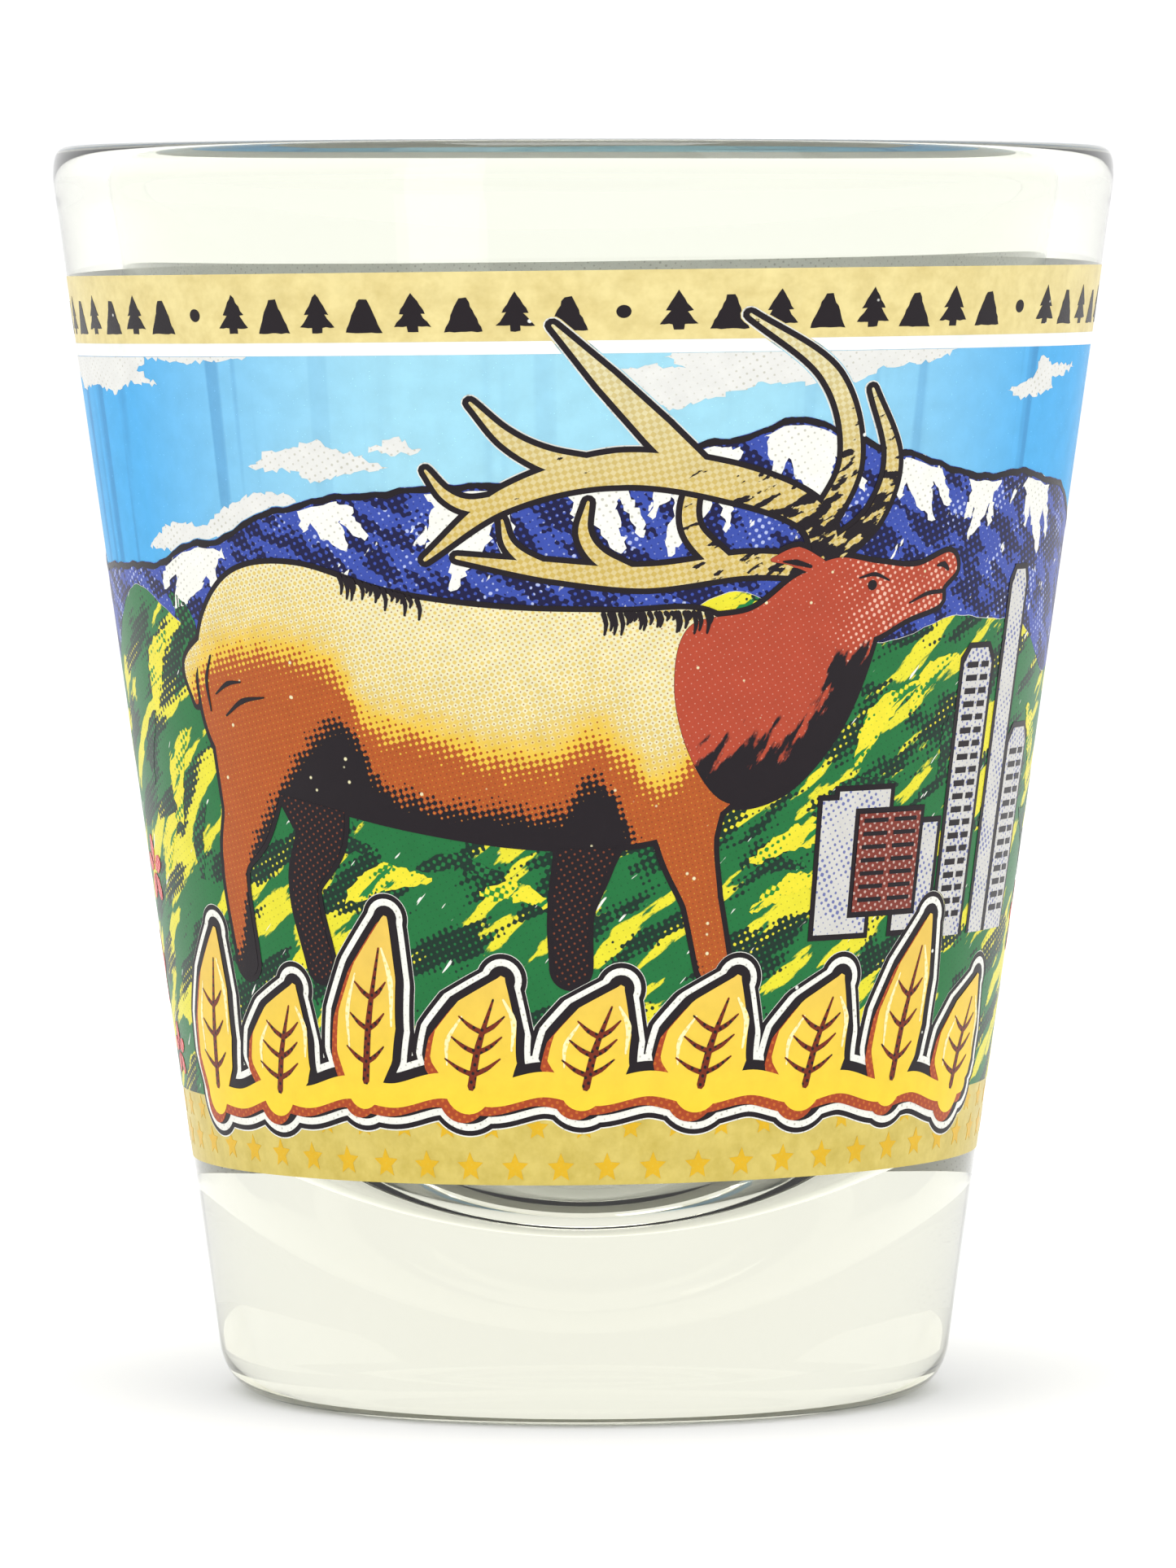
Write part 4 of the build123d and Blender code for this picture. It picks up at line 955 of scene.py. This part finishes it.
CREAM = (0.73, 0.68, 0.42)
STRAW = (0.66, 0.50, 0.15)
YELLOW = (0.72, 0.48, 0.05)
RUST = (0.40, 0.085, 0.015)
NEAR_BLACK = (0.012, 0.008, 0.011)
PAPER = (0.80, 0.80, 0.74)
FINE_PITCH = 0.30  # between the dots of the finer screens
COAT_TURN = 12  # how far, in degrees, the animal's dot screens are turned


def blackish(name):
    """Black outlines with tiny gaps where the white below shows."""
    g = Graph(name)
    s, z = g.flat()
    gaps = g.pinholes(s, z, 1.2, 0.11, 0.45)
    return g.finish_ink(g.mix(gaps, NEAR_BLACK, PAPER), s, z)


def white(name, colour=PAPER):
    """Opaque white with a faint screen of grey dots."""
    g = Graph(name)
    s, z = g.flat()
    cover = g.ramp(g.noise(g.join(s, z), 0.5, 2.0), 0.45, 0.75, 0.02, 0.20)
    dots = g.screen(s, z, cover)
    return g.finish_ink(g.mix(dots, colour, (0.50, 0.49, 0.42)), s, z)


def plain_white():
    """Opaque white, laid on evenly."""
    g = Graph("white_line_ink")
    s, z = g.flat()
    haze = g.ramp(g.noise(g.join(s, z), 0.8, 3.0), 0.3, 0.7)
    return g.finish_ink(g.mix(haze, (0.84, 0.85, 0.82), (0.78, 0.80, 0.78)), s, z)


def sky_material():
    """Clear blue, lit through from behind, with painted shade: a deeper, darker blue towards the sides of the
    glass than on the front and back.
    """
    g = Graph("sky_blue_clear_ink")
    s, z = g.flat()
    # painted shade: the blue darkens with the angle round the glass, darkest at the sides
    painted_side_shade = g.ramp(g.math("COSINE", g.times(s, 2 / ART_RADIUS)), 0.75, -0.55)
    streaks = g.noise(g.join(s, g.times(z, 0.02)), 0.55, 2.0, 0.6)
    colour = g.mix(painted_side_shade, (0.46, 0.84, 1.0), (0.15, 0.56, 0.98))
    # dark streaks in the blue, strongest where the side shade is painted
    dark = g.times(g.ramp(streaks, 0.56, 0.62), g.ramp(painted_side_shade, 0.25, 0.7, 0.12, 0.55))
    colour = g.mix(dark, colour, (0.10, 0.32, 0.62))
    g.finish_ink(colour, s, z, 0.22)
    g.shader.inputs["Transmission Weight"].default_value = 0.32
    g.shader.inputs["IOR"].default_value = 1.05
    return g.material


def band_material(name, light, dark):
    """Tan ink with a soft mottle."""
    g = Graph(name)
    s, z = g.flat()
    coords = g.join(s, z)
    mottle = g.ramp(g.noise(coords, 0.45, 4.0, 0.65), 0.3, 0.7)
    speck = g.ramp(g.noise(coords, 2.6, 3.0), 0.3, 0.7, 0.0, 0.35)
    colour = g.mix(g.math("ADD", mottle, speck, clamp=True), dark, light)
    return g.finish_ink(colour, s, z)


def slanted(g, s, z, turn, along, across, detail=3.0):
    """Noise drawn out along a direction."""
    c, d = cos(radians(turn)), sin(radians(turn))
    u = g.add(g.times(s, c / along), g.times(z, d / along))
    v = g.add(g.times(s, -d / across), g.times(z, c / across))
    return g.noise(g.join(u, v), 1.0, detail)


def mountain_material():
    """Royal blue with navy screened hollows and pale screened slopes."""
    g = Graph("mountain_blue_ink")
    s, z = g.flat()
    folds = slanted(g, s, z, 50, 3.2, 1.3)
    crags = slanted(g, s, z, -35, 2.4, 0.9)
    pale = g.screen(s, z, g.ramp(folds, 0.52, 0.68, 0.0, 0.38))
    navy = g.screen(s, z, g.ramp(crags, 0.44, 0.54, 0.0, 0.80), turn=22)
    colour = g.mix(pale, (0.038, 0.070, 0.36), (0.42, 0.48, 0.74))
    colour = g.mix(navy, colour, (0.008, 0.008, 0.05))
    white_gap = g.ramp(slanted(g, s, z, 60, 1.6, 0.7, detail=4.0), 0.66, 0.68)
    return g.finish_ink(g.mix(white_gap, colour, PAPER), s, z)


def hill_material():
    """Green with dark woods, yellow slopes and pale scratches."""
    g = Graph("hill_green_ink")
    s, z = g.flat()
    woods = g.screen(s, z, g.ramp(slanted(g, s, z, 30, 5.0, 2.0), 0.50, 0.58, 0.0, 0.85), turn=22)
    sun = g.ramp(slanted(g, s, z, 38, 6.5, 1.7, detail=6.0), 0.535, 0.55)
    colour = g.mix(sun, (0.012, 0.15, 0.040), (0.72, 0.66, 0.03))
    colour = g.mix(woods, colour, (0.008, 0.028, 0.018))
    scratch = g.ramp(slanted(g, s, z, 48, 1.8, 0.30, detail=2.0), 0.71, 0.73)
    return g.finish_ink(g.mix(scratch, colour, PAPER), s, z)


def meadow_material():
    """Sunlit yellow with a green screen here and there."""
    g = Graph("meadow_yellow_ink")
    s, z = g.flat()
    green = g.screen(s, z, g.ramp(slanted(g, s, z, 30, 2.0, 0.9), 0.48, 0.62, 0.0, 0.55))
    streaks = g.ramp(slanted(g, s, z, 38, 3.0, 0.6, detail=5.0), 0.60, 0.62)
    colour = g.mix(green, (0.76, 0.67, 0.03), (0.02, 0.22, 0.03))
    return g.finish_ink(g.mix(streaks, colour, (0.012, 0.19, 0.045)), s, z)


def slope_material():
    """Near-black green, broken by a screen of lighter green."""
    g = Graph("slope_dark_ink")
    s, z = g.flat()
    light = g.screen(s, z, g.ramp(slanted(g, s, z, 30, 2.0, 0.9), 0.40, 0.62, 0.10, 0.55))
    return g.finish_ink(g.mix(light, (0.010, 0.030, 0.020), (0.015, 0.17, 0.045)), s, z)


BROWN_EDGE = [
    (-24, 32.0), (-20.4, 34.6), (-19.1, 35.8), (-16.4, 36.4), (-13.7, 36.3), (-11.2, 35.2), (-10.2, 33.4),
    (-7.4, 32.6), (-4.1, 31.6), (-1.4, 31.6), (0.6, 32.4), (1.8, 31.5), (3.4, 30.2), (4.2, 30.6),
    (5.2, 31.8), (9, 30.0),
]
DARK_EDGE = [
    (-24, 19), (-19.4, 21.5), (-17.5, 26.4), (-15.5, 29.0), (-14.0, 30.8), (-12.6, 32.2), (-11.8, 32.7),
    (-10.6, 32.0), (-9.8, 30.3), (-7.4, 29.0), (-4.1, 28.7), (-0.9, 28.7), (0.3, 30.0), (1.1, 29.7),
    (2.2, 27.6), (4.4, 24.2), (5.6, 21.0), (9, 18),
]
MANE_DARK_EDGE = [
    (3, 30.8), (5, 31.4), (7, 32.0), (9.4, 32.3), (10.8, 33.6), (11.5, 35.4), (13.0, 36.5), (15.5, 37.0),
    (19, 37.6),
]


def below(g, s, z, edge, wander, seed):
    """How far, in millimetres, a point is under a line across the drawing; the line wanders."""
    start, span = edge[0][0], edge[-1][0] - edge[0][0]
    made = g.node("ShaderNodeFloatCurve", {"Value": g.ramp(s, start, start + span)})
    curve = made.mapping.curves[0]
    while len(curve.points) < len(edge):
        curve.points.new(0.5, 0.5)
    for point, (place, height) in zip(curve.points, edge):
        point.location = ((place - start) / span, height / HEIGHT)
        point.handle_type = "AUTO"
    made.mapping.update()
    ragged = g.noise(g.join(s, z, seed), 1.6, 5.0, 0.65)
    line = g.add(g.times(made.outputs[0], HEIGHT), g.times(g.math("SUBTRACT", ragged, 0.5), wander))
    return g.math("SUBTRACT", line, z)


def coat_material():
    """Cream and yellow, screened into rust on the flank and black under the belly."""
    g = Graph("elk_coat_ink")
    s, z = g.flat()
    under_brown = below(g, s, z, BROWN_EDGE, 2.2, 1.0)
    under_dark = below(g, s, z, DARK_EDGE, 2.0, 2.0)
    cream_dots = g.screen(s, z, g.ramp(under_brown, -5.0, -1.0, 0.72, 0.40), pitch=FINE_PITCH, turn=COAT_TURN)
    colour = g.mix(cream_dots, STRAW, CREAM)
    colour = g.mix(g.ramp(under_brown, -1.6, -0.4), colour, YELLOW)
    rust_dots = g.screen(s, z, g.ramp(under_brown, -0.6, 1.0, 0.05, 1.0), pitch=FINE_PITCH, turn=COAT_TURN)
    colour = g.mix(rust_dots, colour, RUST)
    dark_dots = g.screen(s, z, g.ramp(under_dark, -1.1, 0.2, 0.0, 1.1), pitch=FINE_PITCH, turn=COAT_TURN)
    colour = g.mix(dark_dots, colour, NEAR_BLACK)
    gaps = g.times(g.pinholes(s, z, 0.95, 0.10, 0.5), g.ramp(under_brown, -0.4, 0.4))
    return g.finish_ink(g.mix(gaps, colour, CREAM), s, z)


def mane_material():
    """Red-brown with dark strokes below and pale dots on the face."""
    g = Graph("elk_mane_ink")
    s, z = g.flat()
    under = below(g, s, z, MANE_DARK_EDGE, 1.6, 3.0)
    hair = slanted(g, s, z, 62, 1.8, 0.45, detail=4.0)
    strokes_in = g.add(under, g.times(g.math("SUBTRACT", hair, 0.5), 7.0))
    face = g.ramp(s, 11.0, 13.5)
    pale = g.ramp(g.noise(g.join(s, z), 0.9), 0.35, 0.58, 0.06, 0.38)
    dots = g.screen(s, z, g.times(face, pale), pitch=FINE_PITCH)
    colour = g.mix(dots, (0.41, 0.060, 0.028), (0.74, 0.44, 0.34))
    colour = g.mix(g.ramp(strokes_in, -0.3, 0.3), colour, NEAR_BLACK)
    gaps = g.pinholes(s, z, 1.0, 0.09, 0.25)
    return g.finish_ink(g.mix(gaps, colour, CREAM), s, z)


def antler_material():
    """Bone yellow, paler to the tips, with dark flecks towards the head."""
    g = Graph("antler_ink")
    s, z = g.flat()
    dots = g.screen(s, z, 0.50, pitch=FINE_PITCH, turn=COAT_TURN)
    pale = g.mix(dots, (0.47, 0.36, 0.11), (0.62, 0.56, 0.34))
    colour = g.mix(g.ramp(z, 43.0, 50.0), g.mix(0.4, pale, (0.64, 0.44, 0.08)), g.mix(0.4, pale, CREAM))
    run = g.math("SUBTRACT", s, 11.0)
    rise = g.math("SUBTRACT", z, 41.0)
    away = g.math("SQRT", g.add(g.times(run, run), g.times(rise, rise)))
    mottle = slanted(g, s, z, 30, 1.2, 0.5, detail=5.0)
    shade = g.math("SUBTRACT", mottle, g.ramp(away, 0.5, 9.0, 0.42, 0.70))
    return g.finish_ink(g.mix(g.ramp(shade, -0.01, 0.01), colour, NEAR_BLACK), s, z)


def gold_material():
    """Golden yellow, warmer at the top."""
    g = Graph("ornament_gold_ink")
    s, z = g.flat()
    colour = g.mix(g.ramp(z, 15.0, 22.0), (0.84, 0.60, 0.035), (0.74, 0.50, 0.09))
    specks = g.pinholes(s, z, 2.2, 0.09, 0.2)
    return g.finish_ink(g.mix(specks, colour, CREAM), s, z)


def tower_material():
    """Pale stone grey with dark specks."""
    g = Graph("tower_grey_ink")
    s, z = g.flat()
    grey = g.screen(s, z, g.ramp(g.noise(g.join(s, z), 0.8), 0.4, 0.65, 0.05, 0.40), pitch=FINE_PITCH)
    return g.finish_ink(g.mix(grey, (0.58, 0.57, 0.54), (0.14, 0.16, 0.36)), s, z)


def brick_material():
    """Brick red with pale dots."""
    g = Graph("brick_red_ink")
    s, z = g.flat()
    pale = g.screen(s, z, 0.22, pitch=FINE_PITCH)
    return g.finish_ink(g.mix(pale, (0.20, 0.036, 0.024), (0.52, 0.37, 0.32)), s, z)


def spot_material(name, colour, second, share=0.25):
    """One ink with a light screen of another."""
    g = Graph(name)
    s, z = g.flat()
    dots = g.screen(s, z, share, pitch=FINE_PITCH)
    return g.finish_ink(g.mix(dots, colour, second), s, z)


# ---- the print, ink by ink ----

def make_bands(outline, paper):
    """Sky and bands, with the white behind and between them, clouds and the bands' own figures."""
    upper, lower = (between(level_line(low), level_line(high)) for low, high in (UPPER_BAND, LOWER_BAND))
    sky = between(lambda s: RIDGE(s) - TRAP, level_line(SKY_TOP))
    ink_piece("sky", 0, [sky], [], sky_material(), "sky_ink")
    ink_piece("upper_band", 0, [upper], [],
              band_material("upper_band_tan_ink", (0.73, 0.62, 0.28), (0.63, 0.51, 0.20)), "upper_band_ink")
    ink_piece("lower_band", 0, [lower], [],
              band_material("lower_band_tan_ink", (0.62, 0.50, 0.135), (0.53, 0.41, 0.08)), "lower_band_ink")
    landscape = between(level_line(ART_BOTTOM + 0.2), RIDGE)
    covered = [landscape, *elk_shapes(KEY + SPREAD), *garland(RIM_GROW + SPREAD)]
    ink_piece("underbase", 1, covered, [], paper, "white_underbase")
    ink_piece("band_backing", BACKING, [upper, lower], [], paper, ())
    line = between(level_line(SKY_TOP - LINE_LAP), level_line(UPPER_BAND[0] + LINE_LAP))
    ink_piece("white_line", 1, [line], outline, plain_white(), "white_line_ink")
    above = between(level_line(SKY_TOP - LINE_LAP - 0.02), level_line(HEIGHT))
    under = between(level_line(ART_BOTTOM), lambda s: RIDGE(s) + 0.04)
    banks = [rough(bank, 0.14, k) for k, bank in enumerate(CLOUDS)]
    ink_piece("clouds", 1, banks, [above, under, *outline],
              white("cloud_ink", (0.70, 0.70, 0.67)), "cloud_ink")
    ink_piece("band_motifs", 1, band_motifs(), outline, blackish("motif_black_ink"), "band_motif_ink")
    ink_piece("stars", 1, star_rows(), garland(RIM_GROW + CLEAR),
              spot_material("star_ochre_ink", (0.68, 0.41, 0.016), (0.66, 0.43, 0.03), 0.15), "star_ink")


def make_landscape(ornament, black, paper):
    """Mountains with snow and a ridge line, and the hills with their sunlit and shaded patches."""
    range_front = between(lambda s: HILL_TOP(s) + 0.03, RIDGE)
    ink_piece("mountains", 2, [range_front], [], mountain_material(), "mountain_ink")
    hills = between(level_line(ART_BOTTOM), HILL_TOP)
    ink_piece("hills", 2, [hills], ornament, hill_material(), "hill_ink")
    ridge_cap = between(lambda s: RIDGE(s) - KEY - 0.12, level_line(HEIGHT))
    snow = [shape for s, w, h, lean in SNOW for shape in snow_patch(s, RIDGE(s) - 0.4, w, h, lean)]
    ink_piece("snow", 3, snow, [ridge_cap], paper, "snow_ink")
    ridge = between(lambda s: RIDGE(s) - KEY - 0.08 * sin(s * 2.1) ** 2, lambda s: RIDGE(s) - 0.03)
    ink_piece("ridge_line", 3, [ridge], [], black, "ridge_line_ink")
    sunlit = [ragged_leaf(place) for place in MEADOWS]
    ink_piece("meadows", 3, sunlit, ornament, meadow_material(), "meadow_ink")
    round_meadows = [leaf(*place, grow=0.16) for place in MEADOWS]
    shaded = [ragged_leaf(place) for place in SHADED_SLOPES]
    ink_piece("slopes", 3, shaded, [*ornament, *round_meadows], slope_material(), "hill_shade_ink")


def make_foreground(ornament, black):
    """The skyline with its black edges and windows, the firs and the blossoms."""
    edges = [capped(*t, KEY) for t in TOWERS] + [upright(*b, KEY) for b in (*BLOCKS, BRICK_BLOCK)]
    ink_piece("skyline_outline", 4, edges, ornament, black, "skyline_outline_ink")
    fronts = [capped(*t) for t in TOWERS] + [upright(*b) for b in BLOCKS]
    brick_edge = upright(*BRICK_BLOCK, KEY)
    ink_piece("skyline", 5, fronts, [*ornament, brick_edge], tower_material(), "skyline_ink")
    ink_piece("pines", 4, [pine(*p) for p in PINES], ornament, slope_material(), "pine_ink")
    ink_piece("blossoms", 4, [shape for b in BLOSSOMS for shape in petals(*b)], ornament,
              spot_material("blossom_red_ink", (0.60, 0.04, 0.05), (0.82, 0.40, 0.36)), "blossom_ink")
    ink_piece("brick_block", 6, [upright(*BRICK_BLOCK)], ornament, brick_material(), "brick_ink")
    ink_piece("tower_windows", 6, tower_windows(), ornament, black, "tower_window_ink")
    ink_piece("brick_windows", 7, brick_windows(), ornament, black, "brick_window_ink")


def make_elk(ornament, black):
    """The animal: outline, coat, far legs, mane and head, antlers, and its dark marks."""
    trunk = smooth_loop(TRUNK)
    near_legs = (LEGS[0], LEGS[2], TAIL)
    far_legs = (LEGS[1], LEGS[3])
    front = front_parts(0.02)
    ink_piece("elk_outline", 4, elk_shapes(KEY), ornament, black, "elk_outline_ink")
    ink_piece("elk_coat", 5, [trunk, *strokes(near_legs)], [*ornament, *front], coat_material(),
              ("elk_coat_ink", "elk_shade_ink"))
    near = [smooth_loop(TRUNK, 0.12), *strokes((LEGS[0], LEGS[2]), 0.12)]
    ink_piece("elk_far_legs", 5, strokes(far_legs), [*ornament, *near],
              spot_material("elk_far_leg_ink", NEAR_BLACK, (0.20, 0.05, 0.02), 0.12), "elk_far_leg_ink")
    ink_piece("elk_mane", 5, front_parts(0.0), [], mane_material(), "elk_mane_ink")
    far = (strokes(FAR_ANTLER), [*front, *strokes(NEAR_ANTLER, KEY)])
    ink_piece("antlers", 5, strokes(NEAR_ANTLER), front, antler_material(), "antler_ink", more=[far])
    ink_piece("elk_marks", 7, elk_marks(), [], black, "elk_dark_ink")


def make_ornament(black, paper):
    """The garland, from its black rim up to the cream highlights."""
    ink_piece("ornament_rim", 2, garland(RIM_GROW), [], black, "ornament_rim_ink")
    ink_piece("ornament_white", 3, garland(WHITE_GROW), [], paper, "ornament_white_ink")
    ink_piece("ornament_outline", 4, garland(OUTLINE_GROW), [], black, "ornament_outline_ink")
    rust = spot_material("ornament_rust_ink", (0.36, 0.055, 0.015), (0.50, 0.12, 0.02))
    ink_piece("ornament_shadow", 5, garland(SPREAD, DROP), [], rust, "ornament_shadow_ink")
    ink_piece("ornament_face", 6, garland(0.0), [], gold_material(), "ornament_face_ink")
    brown = spot_material("ornament_vein_ink", (0.16, 0.022, 0.008), NEAR_BLACK, 0.3)
    ink_piece("ornament_veins", 7, leaf_veins(), [], brown, "ornament_vein_ink")
    cream = spot_material("ornament_cream_ink", (0.88, 0.78, 0.42), (0.86, 0.66, 0.20))
    ink_piece("ornament_shine", 7, leaf_shines(), leaf_veins(), cream, "ornament_shine_ink")


def make_print():
    """Every ink, from the glass outward."""
    ornament = garland(RIM_GROW + 0.04)
    outline = elk_shapes(KEY + CLEAR)
    black = blackish("black_key_ink")
    paper = white("white_ink")
    make_bands(outline, paper)
    make_landscape(ornament, black, paper)
    make_foreground(ornament, black)
    make_elk(ornament, black)
    make_ornament(black, paper)


make_camera()
make_world()
make_floor()
make_lamps()
make_glass()
make_print()
